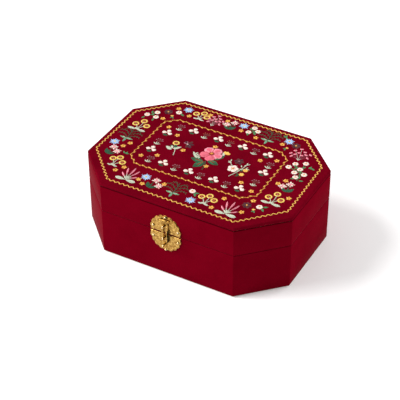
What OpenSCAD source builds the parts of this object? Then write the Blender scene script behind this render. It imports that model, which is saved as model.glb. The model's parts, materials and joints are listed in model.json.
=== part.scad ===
// Octagonal ballerina jewellery box: a cloth-covered wooden case with a hinged lid, a brass hasp,
// lined wells, ring rolls, a lid mirror, and a wind-up comb movement that turns a dancer on a
// coil spring. The dancer lies folded while the lid is shut.
// Millimetres, +Z up, +Y towards the hinges, origin at the middle of the underside.

/* [Case] */
// Width of the case, end to end
box_w = 240; // [236:1:260]
// Depth of the case, front to back
box_d = 177; // [175:1:200]
// Height of the closed case
box_h = 89.5; // [88:0.5:96]
// How far each of the four corners is cut back along both sides
corner_cut = 43; // [36:1:48]
// Height of the joint between base and lid
seam_z = 54; // [54:0.5:56]
// Thickness of the wooden wall boards
wall_t = 6; // [5:0.5:6]
// Thickness of the outer covering
cover_t = 0.6; // [0.4:0.1:0.8]
// Thickness of the velvet-covered lining boards
lining_t = 2; // [1.5:0.5:2]

/* [Clasp] */
// Half of the clasp's width
clasp_half_w = 18; // [16:0.5:20]
// Height of each half of the clasp above or below the seam
clasp_reach = 21.5; // [21:0.5:25]
// Width of the hasp strap
hasp_w = 7.5; // [7:0.5:11]
// How far each eye stands out of its plate
eye_reach = 7; // [6:0.5:7.5]

/* [Movement] */
// Tooth module of every wheel in the movement
tooth_module = 0.6; // [0.6:0.1:0.6]
// Teeth on the spring barrel's crown
barrel_teeth = 36; // [36:1:36]
// Teeth on the wheel that the barrel drives
drum_wheel_teeth = 24; // [24:1:24]
// Teeth on the wheel that drives the governor
great_teeth = 30; // [30:1:30]
// Teeth on the governor's pinion
pinion_teeth = 10; // [10:1:10]
// Teeth on the worm wheel
worm_wheel_teeth = 16; // [16:1:16]
// Notes on the comb
comb_notes = 18; // [12:1:18]

/* [Dancer] */
// Height of the dancer from toe to fingertips
dancer_h = 36; // [30:1:36]
// Radius of the tutu
tutu_r = 13; // [10:0.5:13]
// How far the dancer folds forward from upright when the lid is shut
fold_deg = 75; // [75:1:80]

/* [Hidden] */
$fn = 48;

crimson = [0.42, 0.01, 0.06];
velvet = [0.86, 0.66, 0.66];
board = [0.72, 0.58, 0.42];
brass = [0.86, 0.66, 0.30];
steel = [0.75, 0.76, 0.78];
zinc = [0.62, 0.63, 0.64];
pink = [0.95, 0.68, 0.72];

// ---- case, derived ----
pad_t = 0.8;
floor_t = 4;
floor_top = pad_t + floor_t;
floor_lining_t = 1.5;
well_z = floor_top + floor_lining_t;
gap = 0.3;
base_top = seam_z - gap / 2;
lid_bottom = seam_z + gap / 2;
cloth_t = 0.8;
board_t = 3;
board_z = box_h - cloth_t - board_t;
inner_t = cover_t + wall_t + lining_t;
front_y = -box_d / 2;
back_y = box_d / 2;
inner_y = back_y - inner_t;

// ---- interior, derived ----
bay_half = 44;
partition_t = 3;
partition_z = 40;
stage_front_y = 18;
stage_z = 44;
stage_t = 2.5;
stage_top = stage_z + stage_t + 0.8;
ring_bay_y = -33;
column_wall_y = 0;

// ---- hinges, derived ----
hinge_x = 58;
hinge_w = 24;
knuckle_r = 2.2;
hinge_pin_r = 1.05;
hinge_axis_y = back_y + knuckle_r + 0.3;
leaf_t = 1;
leaf_reach = 13;

// ---- clasp, derived ----
plate_t = 1;
plate_y = front_y - plate_t;
eye_r = 1.9;
eye_hole_r = 0.95;
eye_t = 1.6;
eye_y = plate_y - eye_reach + eye_r;
upper_eye_z = seam_z + 12;
lower_eye_z = [seam_z - 2.6, seam_z - 12];
hasp_axis_z = seam_z + 17.5;
hasp_axis_y = plate_y - 1.6;
hasp_t = 1.3;

// ---- movement, derived ----
axis_y = 34;
drum_wheel_r = drum_wheel_teeth * tooth_module / 2;
crown_r = barrel_teeth * tooth_module / 2;
great_r = great_teeth * tooth_module / 2;
pinion_r = pinion_teeth * tooth_module / 2;
worm_wheel_r = worm_wheel_teeth * tooth_module / 2;
worm_r = 1.8;
tooth_pitch = PI * tooth_module;
addendum = 0.4;
dedendum = 0.55;
drum_wheel_z = 11;
barrel_z = drum_wheel_z + crown_r;
crown_y = axis_y + drum_wheel_r;
barrel_face_y = crown_y + dedendum;
barrel_r = 12.2;
barrel_len = 8.8;
bed_y = 53;
bed_t = 3;
bed_x = [-34, 24];
bed_z = [well_z + 0.4, 43];
arbor_r = 1.5;
bore_gap = 0.06;
drum_r = 6;
drum_z = [12.6, 34.8];
great_z = 36;
bridge_z = 40;
low_bridge_z = bed_z[0];
governor_x = great_r + pinion_r;
governor_r = 0.8;
worm_x = governor_x + worm_wheel_r + worm_r;
worm_z = 25;
worm_shaft_r = 0.6;
fan_r = 6;
spindle_r = 1;
rod_x = 27;
key_y = back_y + 1.6;
key_boss_len = 7.5;
rod_y = 77.5;

// ---- dancer, derived ----
spring_z = stage_top + 2.2;
spring_len = 13;
bend_r = spring_len / (fold_deg * PI / 180);
toe_y = axis_y - bend_r * (1 - cos(fold_deg));
toe_z = spring_z + bend_r * sin(fold_deg);

// ================= helpers =================

// Corners of the case outline, moved inwards by t, from the front left one, anticlockwise.
function outline(t) =
    let (hw = box_w / 2 - t, hd = box_d / 2 - t, c = corner_cut - t * (2 - sqrt(2)))
    [[-hw + c, -hd], [hw - c, -hd], [hw, -hd + c], [hw, hd - c],
     [hw - c, hd], [-hw + c, hd], [-hw, hd - c], [-hw, -hd + c]];

module prism(t, z0, z1) {
    translate([0, 0, z0]) linear_extrude(z1 - z0) polygon(outline(t));
}

module ring(outer, inner, z0, z1) {
    translate([0, 0, z0]) linear_extrude(z1 - z0) difference() {
        polygon(outline(outer));
        polygon(outline(inner));
    }
}

// One mitred wall board: side 0 is the front, 2 the right end, 4 the back, 6 the left end.
module wall(side, z0, z1) {
    o = outline(cover_t);
    n = outline(cover_t + wall_t);
    j = (side + 1) % 8;
    translate([0, 0, z0]) linear_extrude(z1 - z0) polygon([o[side], o[j], n[j], n[side]]);
}

module slab(x0, x1, y0, y1, z0, z1) {
    translate([x0, y0, z0]) cube([x1 - x0, y1 - y0, z1 - z0]);
}

// A cylinder along +Y from y0 to y1.
module rod_y_dir(x, z, y0, y1, r) {
    translate([x, y0, z]) rotate([-90, 0, 0]) cylinder(h = y1 - y0, r = r);
}

// A spur wheel outline with slim straight-sided teeth, one tooth centred on +X.
module wheel_outline(teeth, slim = 0.3) {
    r = teeth * tooth_module / 2;
    a = 360 / teeth;
    polygon([for (i = [0:teeth - 1], s = [[-0.5 * slim - 0.08, r - dedendum],
            [-0.5 * slim + 0.08, r + addendum], [0.5 * slim - 0.08, r + addendum],
            [0.5 * slim + 0.08, r - dedendum]])
        s[1] * [cos(a * (i + s[0])), sin(a * (i + s[0]))]]);
}

// ================= base of the case =================

module base_pad() {
    color("dimgray") prism(2, 0, pad_t);
}

module base_floor() {
    color(board) prism(cover_t + wall_t, pad_t, floor_top);
}

module base_front_wall() {
    color(board) difference() {
        wall(0, pad_t, base_top);
        clasp_holes(lower_eye_z, false);
    }
}

module base_back_wall() {
    color(board) difference() {
        wall(4, pad_t, base_top);
        rod_y_dir(0, barrel_z, back_y - 10, back_y + 1, arbor_r + 1);
        hinge_screw_holes(false);
    }
}

module base_end_walls() {
    color(board) for (side = [2, 6]) wall(side, pad_t, base_top);
}

module base_corner_walls() {
    color(board) for (side = [1, 3, 5, 7]) wall(side, pad_t, base_top);
}

module base_covering() {
    color(crimson) difference() {
        ring(0, cover_t, pad_t, base_top);
        rod_y_dir(0, barrel_z, back_y - 3, back_y + 1, arbor_r + 1);
        hinge_screw_holes(false);
        clasp_holes(lower_eye_z, false);
    }
}

module base_lining() {
    color(velvet) difference() {
        ring(cover_t + wall_t, inner_t, floor_top, base_top - 2);
        rod_y_dir(0, barrel_z, inner_y - 1, back_y, arbor_r + 1);
    }
}

module floor_lining() {
    color(velvet) prism(inner_t, floor_top, well_z);
}

// ================= interior fittings =================

module side_partitions() {
    color(velvet) for (s = [-1, 1]) {
        x = s > 0 ? bay_half - partition_t : -bay_half;
        slab(x, x + partition_t, -inner_y, inner_y, well_z, partition_z);
        slab(x, x + partition_t, stage_front_y, inner_y, partition_z, stage_z);
    }
}

// The back of the ring bay, and one board across each side column.
module cross_partitions() {
    reach = box_w / 2 - inner_t;
    bay_in = bay_half - partition_t;
    color(velvet) {
        slab(-bay_in, bay_in, ring_bay_y - partition_t, ring_bay_y, well_z, partition_z);
        slab(-reach, -bay_half, column_wall_y, column_wall_y + partition_t, well_z, partition_z);
        slab(bay_half, reach, column_wall_y, column_wall_y + partition_t, well_z, partition_z);
    }
}

module housing_front_board() {
    color(velvet) slab(-bay_half + partition_t, bay_half - partition_t,
        stage_front_y, stage_front_y + partition_t, well_z, stage_z);
}

module movement_board() {
    half = bay_half - partition_t;
    color(board) difference() {
        slab(-half, half, bed_y + bed_t, bed_y + bed_t + 5, well_z, stage_z);
        rod_y_dir(0, barrel_z, bed_y, bed_y + 12, arbor_r + 1.5);
        slab(rod_x - 1.8, rod_x + 1.8, bed_y, bed_y + 12, worm_z - 0.6, worm_z + 9);
        movement_screw_shanks();
    }
}

module stage_board() {
    color(board) difference() {
        slab(-bay_half, bay_half, stage_front_y, inner_y, stage_z, stage_z + stage_t);
        stage_holes();
    }
}

module stage_velvet() {
    color(velvet) difference() {
        slab(-bay_half, bay_half, stage_front_y, inner_y, stage_z + stage_t, stage_top);
        stage_holes();
    }
}

module stage_holes() {
    translate([0, axis_y, stage_z - 1]) cylinder(h = 8, r = spindle_r + 1.5);
    translate([rod_x, rod_y, stage_z - 1]) cylinder(h = 8, r = 1.6);
}

ring_roll_count = 5;
ring_roll_r = 4.15;
ring_roll_step = 8.7;
ring_base_top = 31;

module ring_cushion() {
    color(velvet) slab(-bay_half + partition_t, bay_half - partition_t,
        -inner_y, ring_bay_y - partition_t, well_z, ring_base_top);
}

module ring_rolls() {
    half = bay_half - partition_t - 0.3;
    first = -inner_y + 4.6;
    color(velvet) for (i = [0:ring_roll_count - 1])
        translate([-half, first + i * ring_roll_step, ring_base_top + ring_roll_r + 0.05])
            rotate([0, 90, 0]) cylinder(h = 2 * half, r = ring_roll_r);
}

// ================= lid =================

module lid_front_wall() {
    color(board) difference() {
        wall(0, lid_bottom, board_z);
        clasp_holes([upper_eye_z], true);
    }
}

module lid_back_wall() {
    color(board) difference() {
        wall(4, lid_bottom, board_z);
        hinge_screw_holes(true);
    }
}

module lid_end_walls() {
    color(board) for (side = [2, 6]) wall(side, lid_bottom, board_z);
}

module lid_corner_walls() {
    color(board) for (side = [1, 3, 5, 7]) wall(side, lid_bottom, board_z);
}

module lid_covering() {
    color(crimson) difference() {
        ring(0, cover_t, lid_bottom, board_z);
        hinge_screw_holes(true);
        clasp_holes([upper_eye_z], true);
    }
}

module lid_top_board() {
    color(board) prism(cloth_t, board_z, box_h - cloth_t);
}

module lid_top_cloth() {
    color(crimson) difference() {
        prism(0, board_z, box_h);
        prism(cloth_t, board_z - 1, box_h - cloth_t);
    }
}

module lid_lining() {
    color(velvet) ring(cover_t + wall_t, inner_t, lid_bottom + 0.5, board_z);
}

ceiling_t = 1.5;
mirror_t = 2;
mirror_half = [74, 50];
mirror_cut = 18;
frame_w = 4;

function cut_rect(hx, hy, c) = [[-hx + c, -hy], [hx - c, -hy], [hx, -hy + c], [hx, hy - c],
    [hx - c, hy], [-hx + c, hy], [-hx, hy - c], [-hx, -hy + c]];

module mirror_prism(grow, z0, z1) {
    translate([0, 0, z0]) linear_extrude(z1 - z0)
        polygon(cut_rect(mirror_half[0] + grow, mirror_half[1] + grow,
            mirror_cut + grow * (2 - sqrt(2))));
}

module lid_ceiling() {
    color(velvet) prism(inner_t, board_z - ceiling_t, board_z);
}

module lid_mirror() {
    z = board_z - ceiling_t;
    color("lightcyan") mirror_prism(0, z - mirror_t, z);
}

module mirror_frame() {
    z = board_z - ceiling_t;
    color(brass) difference() {
        mirror_prism(frame_w, z - mirror_t - 0.6, z);
        mirror_prism(0, z - mirror_t, z + 1);
        mirror_prism(-1.2, z - mirror_t - 2, z + 1);
    }
}

module lid_stop_tab() {
    color(brass) slab(rod_x - 3, rod_x + 3, inner_y - 5, inner_y, lid_bottom + 0.5, lid_bottom + 2);
}

// ================= hinges =================

hinge_screw_x = 7.5;
hinge_screw_edge = 4;
screw_r = 0.8;
screw_head_r = 1.7;
screw_head_t = 0.7;
screw_slot = 0.4;

function hinge_screw_z(on_lid) = seam_z + (on_lid ? 1 : -1) * (leaf_reach - hinge_screw_edge);

module hinge_screw_holes(on_lid) {
    for (h = [-1, 1], s = [-1, 1])
        rod_y_dir(h * hinge_x + s * hinge_screw_x, hinge_screw_z(on_lid),
            back_y - 5, back_y + 2, screw_r);
}

module hinge_leaf(on_lid) {
    third = hinge_w / 3;
    z0 = on_lid ? lid_bottom : seam_z - leaf_reach;
    z1 = on_lid ? seam_z + leaf_reach : base_top;
    own = on_lid ? [0] : [-1, 1];
    other = on_lid ? [-1, 1] : [0];
    difference() {
        union() {
            slab(-hinge_w / 2, hinge_w / 2, back_y, back_y + leaf_t, z0, z1);
            for (k = own) translate([k * third, 0, 0]) knuckle(third - 0.2, knuckle_r);
        }
        for (k = other) translate([k * third, 0, 0]) knuckle(third + 0.2, knuckle_r + 0.3);
        translate([-hinge_w, hinge_axis_y, seam_z]) rotate([0, 90, 0])
            cylinder(h = 2 * hinge_w, r = on_lid ? hinge_pin_r + bore_gap : hinge_pin_r);
        for (s = [-1, 1])
            rod_y_dir(s * hinge_screw_x, hinge_screw_z(on_lid), back_y - 1, back_y + 3, screw_r);
    }
}

module knuckle(w, r) {
    translate([-w / 2, hinge_axis_y, seam_z]) rotate([0, 90, 0]) cylinder(h = w, r = r);
}

module base_hinge_leaves() {
    color(brass) for (h = [-1, 1]) translate([h * hinge_x, 0, 0]) hinge_leaf(false);
}

module lid_hinge_leaves() {
    color(brass) for (h = [-1, 1]) translate([h * hinge_x, 0, 0]) hinge_leaf(true);
}

module hinge_pins() {
    color(brass) for (h = [-1, 1]) translate([h * hinge_x - hinge_w / 2, hinge_axis_y, seam_z])
        rotate([0, 90, 0]) cylinder(h = hinge_w, r = hinge_pin_r);
}

module hinge_screws(on_lid) {
    z = hinge_screw_z(on_lid);
    y = back_y + leaf_t;
    for (h = [-1, 1], s = [-1, 1]) {
        x = h * hinge_x + s * hinge_screw_x;
        rod_y_dir(x, z, back_y - 4.8, y, screw_r);
        difference() {
            rod_y_dir(x, z, y, y + screw_head_t, screw_head_r);
            slab(x - 2, x + 2, y + screw_head_t / 2, y + 2, z - screw_slot / 2, z + screw_slot / 2);
        }
    }
}

module hinge_screws_base() {
    color(brass) hinge_screws(false);
}

module hinge_screws_lid() {
    color(brass) hinge_screws(true);
}

// ================= clasp =================

nail_r = 0.5;
nail_dome_r = 1.35;
eye_rivet_r = 0.8;
nail_x = 14.4;
nail_dz = 6.6;
tip_nail_dz = 20.6;
lobes = 9;
lobe_depth = 0.07;

// Half of a scalloped oval: round lobes along the far edge, soft corners beside the seam.
function clasp_half(w, reach) = let (low = 2.6, steps = 72) concat(
    [for (i = [0:steps]) let (a = 180 * i / steps, s = 1 - lobe_depth * (1 - abs(sin(a * lobes))))
        [w * s * cos(a), low + (reach - low) * s * sin(a)]],
    [for (i = [1:11]) let (a = 180 + 180 * i / 12, k = cos(a))
        [w * 0.965 * sign(k) * pow(abs(k), 0.25), low - low * pow(abs(sin(a)), 0.5)]]);

module clasp_plate(up) {
    first = 0.75;
    difference() {
        translate([0, front_y, seam_z]) rotate([90, 0, 0]) linear_extrude(plate_t)
            polygon([for (p = clasp_half(clasp_half_w, clasp_reach)) [p[0], up * (first + p[1])]]);
        clasp_holes(up > 0 ? [upper_eye_z] : lower_eye_z, up > 0);
    }
}

function nail_places(on_lid) = let (s = on_lid ? 1 : -1)
    [[-nail_x, seam_z + s * nail_dz], [nail_x, seam_z + s * nail_dz], [0, seam_z + s * tip_nail_dz]];

module clasp_holes(eye_zs, on_lid) {
    for (z = eye_zs) rod_y_dir(0, z, plate_y - 1, front_y + 5, eye_rivet_r);
    for (p = nail_places(on_lid)) rod_y_dir(p[0], p[1], plate_y - 1, front_y + 4, nail_r);
}

module clasp_upper_plate() {
    color(brass) {
        difference() {
            union() {
                clasp_plate(1);
                for (s = [-1, 1]) {
                    x = s * lug_x;
                    hasp_knuckle(x, lug_w);
                    slab(x - lug_w / 2, x + lug_w / 2, hasp_axis_y, plate_y + 0.1,
                        hasp_axis_z - hasp_knuckle_r, hasp_axis_z + hasp_knuckle_r);
                }
            }
            hasp_pin_bore(hasp_pin_r);
        }
    }
}

module clasp_lower_plate() {
    color(brass) clasp_plate(-1);
}

module nails(on_lid) {
    for (p = nail_places(on_lid)) {
        rod_y_dir(p[0], p[1], plate_y, front_y + 3.8, nail_r);
        translate([p[0], plate_y, p[1]]) difference() {
            sphere(r = nail_dome_r);
            slab(-2, 2, 0, 2, -2, 2);
        }
    }
}

module clasp_nails_lid() {
    color(brass) nails(true);
}

module clasp_nails_base() {
    color(brass) nails(false);
}

// An upright eye for a padlock: a round-ended tab with a cross hole, riveted through its plate.
module eye(z) {
    translate([-eye_t / 2, 0, 0]) difference() {
        union() {
            translate([0, eye_y, z]) rotate([0, 90, 0]) cylinder(h = eye_t, r = eye_r);
            translate([0, eye_y, z - eye_r]) cube([eye_t, plate_y - eye_y, 2 * eye_r]);
        }
        translate([-1, eye_y, z]) rotate([0, 90, 0]) cylinder(h = eye_t + 2, r = eye_hole_r);
    }
    rod_y_dir(0, z, plate_y - 0.1, front_y + 4.8, eye_rivet_r);
}

module clasp_upper_eye() {
    color(brass) eye(upper_eye_z);
}

module clasp_lower_eyes() {
    color(brass) for (z = lower_eye_z) eye(z);
}

hasp_knuckle_r = 1.3;
hasp_knuckle_w = 6;
hasp_pin_r = 0.6;
lug_x = 4.3;
lug_w = 2.2;

module hasp_knuckle(x, w) {
    translate([x - w / 2, hasp_axis_y, hasp_axis_z]) rotate([0, 90, 0])
        cylinder(h = w, r = hasp_knuckle_r);
}

module hasp_pin_bore(r) {
    translate([-10, hasp_axis_y, hasp_axis_z]) rotate([0, 90, 0]) cylinder(h = 20, r = r);
}

hasp_slot_w = 2.8;
hasp_foot_z = seam_z - 9.5;
// Each prong is rounded at its outer corner only, so the slot stays as wide as this down to its foot.
foot_r = (hasp_w - hasp_slot_w) / 4;

// A strap that forks around the eyes, open at its foot so that it lifts away with the lid.
module hasp() {
    neck = hasp_knuckle_w / 2 - 0.1;
    slot_top = upper_eye_z + eye_r + 0.6;
    strap_y = hasp_axis_y - hasp_t / 2;
    color(brass) difference() {
        union() {
            hasp_knuckle(0, hasp_knuckle_w);
            slab(-neck, neck, strap_y, strap_y + hasp_t, slot_top, hasp_axis_z);
            slab(-hasp_w / 2, hasp_w / 2, strap_y, strap_y + hasp_t, slot_top, hasp_axis_z - 1.8);
            for (s = [-1, 1]) {
                inner = s * hasp_slot_w / 2;
                outer = s * hasp_w / 2;
                round_x = outer - s * foot_r;
                slab(min(inner, outer), max(inner, outer), strap_y, strap_y + hasp_t,
                    hasp_foot_z + foot_r, slot_top + 0.1);
                slab(min(inner, round_x), max(inner, round_x), strap_y, strap_y + hasp_t,
                    hasp_foot_z, hasp_foot_z + foot_r + 0.1);
                rod_y_dir(round_x, hasp_foot_z + foot_r, strap_y, strap_y + hasp_t, foot_r);
            }
        }
        hasp_pin_bore(hasp_pin_r + bore_gap);
    }
}

module hasp_pin() {
    half = lug_x + lug_w / 2;
    color(brass) translate([-half, hasp_axis_y, hasp_axis_z]) rotate([0, 90, 0])
        cylinder(h = 2 * half, r = hasp_pin_r);
}

// ================= wind-up movement =================

movement_screw_places = [[-18, 40], [18, 40], [21, 12]];
bolt_r = 1.1;
bolt_head_r = 2;
bolt_head_t = 1.3;

module movement_screw_shanks() {
    for (p = movement_screw_places) rod_y_dir(p[0], p[1], bed_y - 1, bed_y + bed_t + 4.4, bolt_r);
}

module bedplate() {
    color(zinc) difference() {
        union() {
            slab(bed_x[0], bed_x[1], bed_y, bed_y + bed_t, bed_z[0], bed_z[1]);
            slab(bed_x[0] + 1, bed_x[0] + 13, axis_y + comb_t / 2, bed_y, 12, 36);
        }
        rod_y_dir(0, barrel_z, bed_y - 1, bed_y + 5, arbor_r + bore_gap);
        rod_y_dir(worm_x, worm_z, bed_y - 1, bed_y + 2, worm_shaft_r + bore_gap);
        movement_screw_shanks();
        for (z = comb_screw_z) rod_y_dir(comb_screw_x, z, axis_y, axis_y + 8, bolt_r);
        rod_y_dir(click_post[0], click_post[1], bed_y - 1, bed_y + 5, click_post_r + bore_gap);
    }
}

// Two plates on the bedplate that carry the upright arbors, with a bracket for the worm.
module movement_bridges() {
    color(zinc) difference() {
        union() {
            slab(-5, governor_x + 4, axis_y - 4, bed_y, bridge_z, bridge_z + 2);
            slab(-5, worm_x + 4, 24, bed_y, low_bridge_z, low_bridge_z + 1.6);
            slab(worm_x - 3, worm_x + 3, 24, 25.6, low_bridge_z + 1.6, worm_z + 3);
        }
        translate([0, axis_y, 0]) cylinder(h = 60, r = spindle_r + bore_gap);
        translate([governor_x, axis_y, 0]) cylinder(h = 60, r = governor_r + bore_gap);
        rod_y_dir(worm_x, worm_z, 20, 30, worm_shaft_r + bore_gap);
    }
}

module movement_screws() {
    color(steel) {
        for (p = movement_screw_places) {
            rod_y_dir(p[0], p[1], bed_y, bed_y + bed_t + 4.4, bolt_r);
            slotted_head(p[0], p[1], bed_y - bolt_head_t);
        }
        for (z = comb_screw_z) {
            rod_y_dir(comb_screw_x, z, axis_y - comb_t / 2, axis_y + 7.4, bolt_r);
            slotted_head(comb_screw_x, z, axis_y - comb_t / 2 - bolt_head_t);
        }
    }
}

// A cheese head whose slot faces the front.
module slotted_head(x, z, y0) {
    difference() {
        rod_y_dir(x, z, y0, y0 + bolt_head_t, bolt_head_r);
        slab(x - 3, x + 3, y0 - 1, y0 + 0.5, z - 0.3, z + 0.3);
    }
}

comb_screw_x = -27;
comb_screw_z = [17.5, 30.5];
comb_pitch = 1.15;
comb_low_z = 13.3;
comb_t = 0.8;

module comb() {
    tip_x = -(drum_r + 0.45);
    tooth_w = 0.8;
    low = comb_low_z - 0.9;
    top = comb_low_z + (comb_notes - 1) * comb_pitch + 1.4;
    color(steel) difference() {
        translate([0, axis_y + comb_t / 2, 0]) rotate([90, 0, 0]) linear_extrude(comb_t) union() {
            polygon([[-32, low], [-20.5, low], [-13.5, top], [-32, top]]);
            for (i = [0:comb_notes - 1]) translate([-21, comb_low_z + i * comb_pitch])
                square([21 + tip_x, tooth_w]);
        }
        for (z = comb_screw_z) rod_y_dir(comb_screw_x, z, axis_y - 2, axis_y + 3, bolt_r);
    }
}

ratchet_teeth = 12;
ratchet_r = 4.6;
ratchet_y = bed_y - 1.5;
click_post = [8.6, barrel_z];
click_post_r = 0.64;

// The arbor runs from the barrel out through the back wall, with the ratchet fixed to it.
module winding_arbor() {
    color(steel) union() {
        rod_y_dir(0, barrel_z, barrel_face_y - 0.4, key_y + key_boss_len - 1.6, arbor_r);
        translate([0, ratchet_y, barrel_z]) rotate([-90, 0, 0]) linear_extrude(1)
            polygon([for (i = [0:ratchet_teeth - 1], s = [[0, ratchet_r], [0.06, ratchet_r - 1.1]])
                s[1] * [cos(360 / ratchet_teeth * (i + s[0])), sin(360 / ratchet_teeth * (i + s[0]))]]);
    }
}

key_boss_r = 2.9;
wing_t = 1.8;
wing_r = 5.4;
wing_x = 6.6;

// A butterfly key: a boss on the arbor's end and two pierced wings.
module winding_key() {
    color(brass) translate([0, key_y, barrel_z]) difference() {
        union() {
            rotate([-90, 0, 0]) cylinder(h = key_boss_len, r = key_boss_r);
            for (s = [-1, 1]) translate([s * wing_x, key_boss_len + 0.7, -wing_t / 2])
                cylinder(h = wing_t, r = wing_r);
            slab(-4, 4, 4, key_boss_len + 1.5, -wing_t / 2, wing_t / 2);
        }
        translate([0, -1, 0]) rotate([-90, 0, 0]) cylinder(h = key_boss_len - 0.55, r = arbor_r);
        for (s = [-1, 1]) translate([s * (wing_x + 0.8), key_boss_len + 1.1, -3])
            cylinder(h = 6, r = 1.8);
    }
}

// The pawl that rests in the ratchet, on a post in the bedplate.
module click() {
    color(steel) union() {
        rod_y_dir(click_post[0], click_post[1], ratchet_y, ratchet_y + 1, 1.4);
        rod_y_dir(click_post[0], click_post[1], ratchet_y, bed_y + 2.6, click_post_r);
        translate([0, ratchet_y, 0]) rotate([-90, 0, 0]) linear_extrude(1) polygon([
            [click_post[0] - 0.5, -click_post[1] + 1.2], [click_post[0] - 0.3, -click_post[1] - 1.2],
            [ratchet_r + 0.55, -barrel_z - 1.6], [ratchet_r + 0.4, -barrel_z - 0.9]]);
    }
}

// A drum that holds the mainspring, with crown teeth on its front face.
module spring_barrel() {
    cup_y = barrel_face_y;
    wall_r = barrel_r - 0.9;
    color(brass) difference() {
        union() {
            rod_y_dir(0, barrel_z, cup_y, cup_y + barrel_len, barrel_r);
            for (i = [0:barrel_teeth - 1])
                translate([0, cup_y, barrel_z]) rotate([0, 360 / barrel_teeth * (i + 0.5), 0])
                    slab(-0.26, 0.26, -addendum - dedendum, 0.1, -crown_r - 0.9, -crown_r + 0.9);
        }
        rod_y_dir(0, barrel_z, cup_y + 0.9, cup_y + barrel_len - 0.9, wall_r);
        rod_y_dir(0, barrel_z, cup_y - 2, cup_y + barrel_len + 1, arbor_r + bore_gap);
    }
}

// A flat spiral ribbon inside the barrel.
module mainspring() {
    turns = 7;
    steps = 24 * turns;
    r0 = 2.4;
    r1 = barrel_r - 1.4;
    function spiral(i, t) = let (a = 360 * turns * i / steps, r = r0 + (r1 - r0) * i / steps + t)
        r * [cos(a), sin(a)];
    color(steel) translate([0, barrel_face_y + 1.4, barrel_z]) rotate([-90, 0, 0])
        linear_extrude(barrel_len - 2.8) polygon(concat(
            [for (i = [0:steps]) spiral(i, 0)], [for (i = [steps:-1:0]) spiral(i, 0.3)]));
}

pin_rows = 3;

// The pinned drum on its upright arbor, with its driving and driven wheels and the turntable.
module music_cylinder() {
    color(brass) translate([0, axis_y, 0]) union() {
        translate([0, 0, drum_z[0]]) cylinder(h = drum_z[1] - drum_z[0], r = drum_r);
        translate([0, 0, low_bridge_z]) cylinder(h = spring_z - 0.3 - low_bridge_z, r = spindle_r);
        translate([0, 0, drum_wheel_z - 0.8]) linear_extrude(1.6) wheel_outline(drum_wheel_teeth);
        translate([0, 0, great_z]) linear_extrude(1.4) wheel_outline(great_teeth);
        for (i = [0:comb_notes - 1], k = [0:pin_rows - 1])
            let (a = 360 * ((i * 7 + k * 11) % 29) / 29 + 20 * k)
                translate([0, 0, comb_low_z + 0.4 + i * comb_pitch]) rotate([0, 90, a])
                    cylinder(h = drum_r + 0.3, r = 0.22, $fn = 16);
    }
}

module governor_arbor() {
    color(steel) translate([governor_x, axis_y, 0]) union() {
        translate([0, 0, low_bridge_z + 0.2]) cylinder(h = bridge_z + 1.8 - low_bridge_z, r = governor_r);
        translate([0, 0, great_z - 0.6]) linear_extrude(2.6) rotate(180 / pinion_teeth)
            wheel_outline(pinion_teeth, 0.26);
        translate([0, 0, worm_z - 0.7]) linear_extrude(1.4) wheel_outline(worm_wheel_teeth, 0.24);
    }
}

worm_starts = 2;
worm_len = 6;

// The worm, its shaft and the two-bladed air brake.
module fan_governor() {
    lead = worm_starts * tooth_pitch;
    fan_y = 41;
    turn = 360 * worm_len / lead;
    function lobe(a) = let (b = abs((a + 90) % 180 - 90)) b < 14 ? 1 : b > 34 ? 0 : (34 - b) / 20;
    color(steel) union() {
        rod_y_dir(worm_x, worm_z, 24.4, bed_y + 1.6, worm_shaft_r);
        translate([worm_x, axis_y - worm_len / 2, worm_z]) rotate([-90, 0, 0])
            linear_extrude(worm_len, twist = -turn, slices = 26)
                rotate(90 - turn / 2) polygon([for (a = [0:15:345])
                    (worm_r - 0.6 + lobe(a)) * [cos(a), sin(a)]]);
        rod_y_dir(worm_x, worm_z, fan_y - 0.6, fan_y + 6.6, 1.1);
        slab(worm_x - fan_r, worm_x + fan_r, fan_y, fan_y + 6, worm_z - 0.25, worm_z + 0.25);
    }
}

// A rod that the closing lid presses, with a finger beside the fan.
module stop_lever() {
    rod_top = lid_bottom + 0.3;
    color(steel) union() {
        translate([rod_x, rod_y, worm_z + 1]) cylinder(h = rod_top - worm_z - 1.6, r = 1);
        translate([rod_x, rod_y, rod_top - 0.6]) cylinder(h = 0.6, r1 = 1, r2 = 0.6);
        slab(rod_x - 0.6, rod_x + 0.6, 44, rod_y, worm_z + 1, worm_z + 2.2);
        slab(worm_x + fan_r + 0.4, rod_x, 44, 45.2, worm_z - 0.3, worm_z + 2.2);
    }
}

// ================= dancer =================

turntable_t = 1.3;

module turntable() {
    color(pink) translate([0, axis_y, spring_z - turntable_t]) difference() {
        cylinder(h = turntable_t, r = 7);
        translate([0, 0, -1]) cylinder(h = turntable_t + 1 - 0.3, r = spindle_r);
    }
}

spring_r = 2.5;
spring_wire = 0.45;
spring_turns = 7;

// Middle line of the bent spring, its normal in the plane of the bend, and points on the coil.
function bend_point(s) = let (a = fold_deg * s)
    [0, axis_y - bend_r * (1 - cos(a)), spring_z + bend_r * sin(a)];
function bend_normal(s) = let (a = fold_deg * s) [0, -cos(a), -sin(a)];
function coil_out(s) = let (t = 360 * spring_turns * s) cos(t) * [1, 0, 0] + sin(t) * bend_normal(s);
function coil_point(s) = bend_point(s) + spring_r * coil_out(s);
function unit(v) = v / norm(v);

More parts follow.
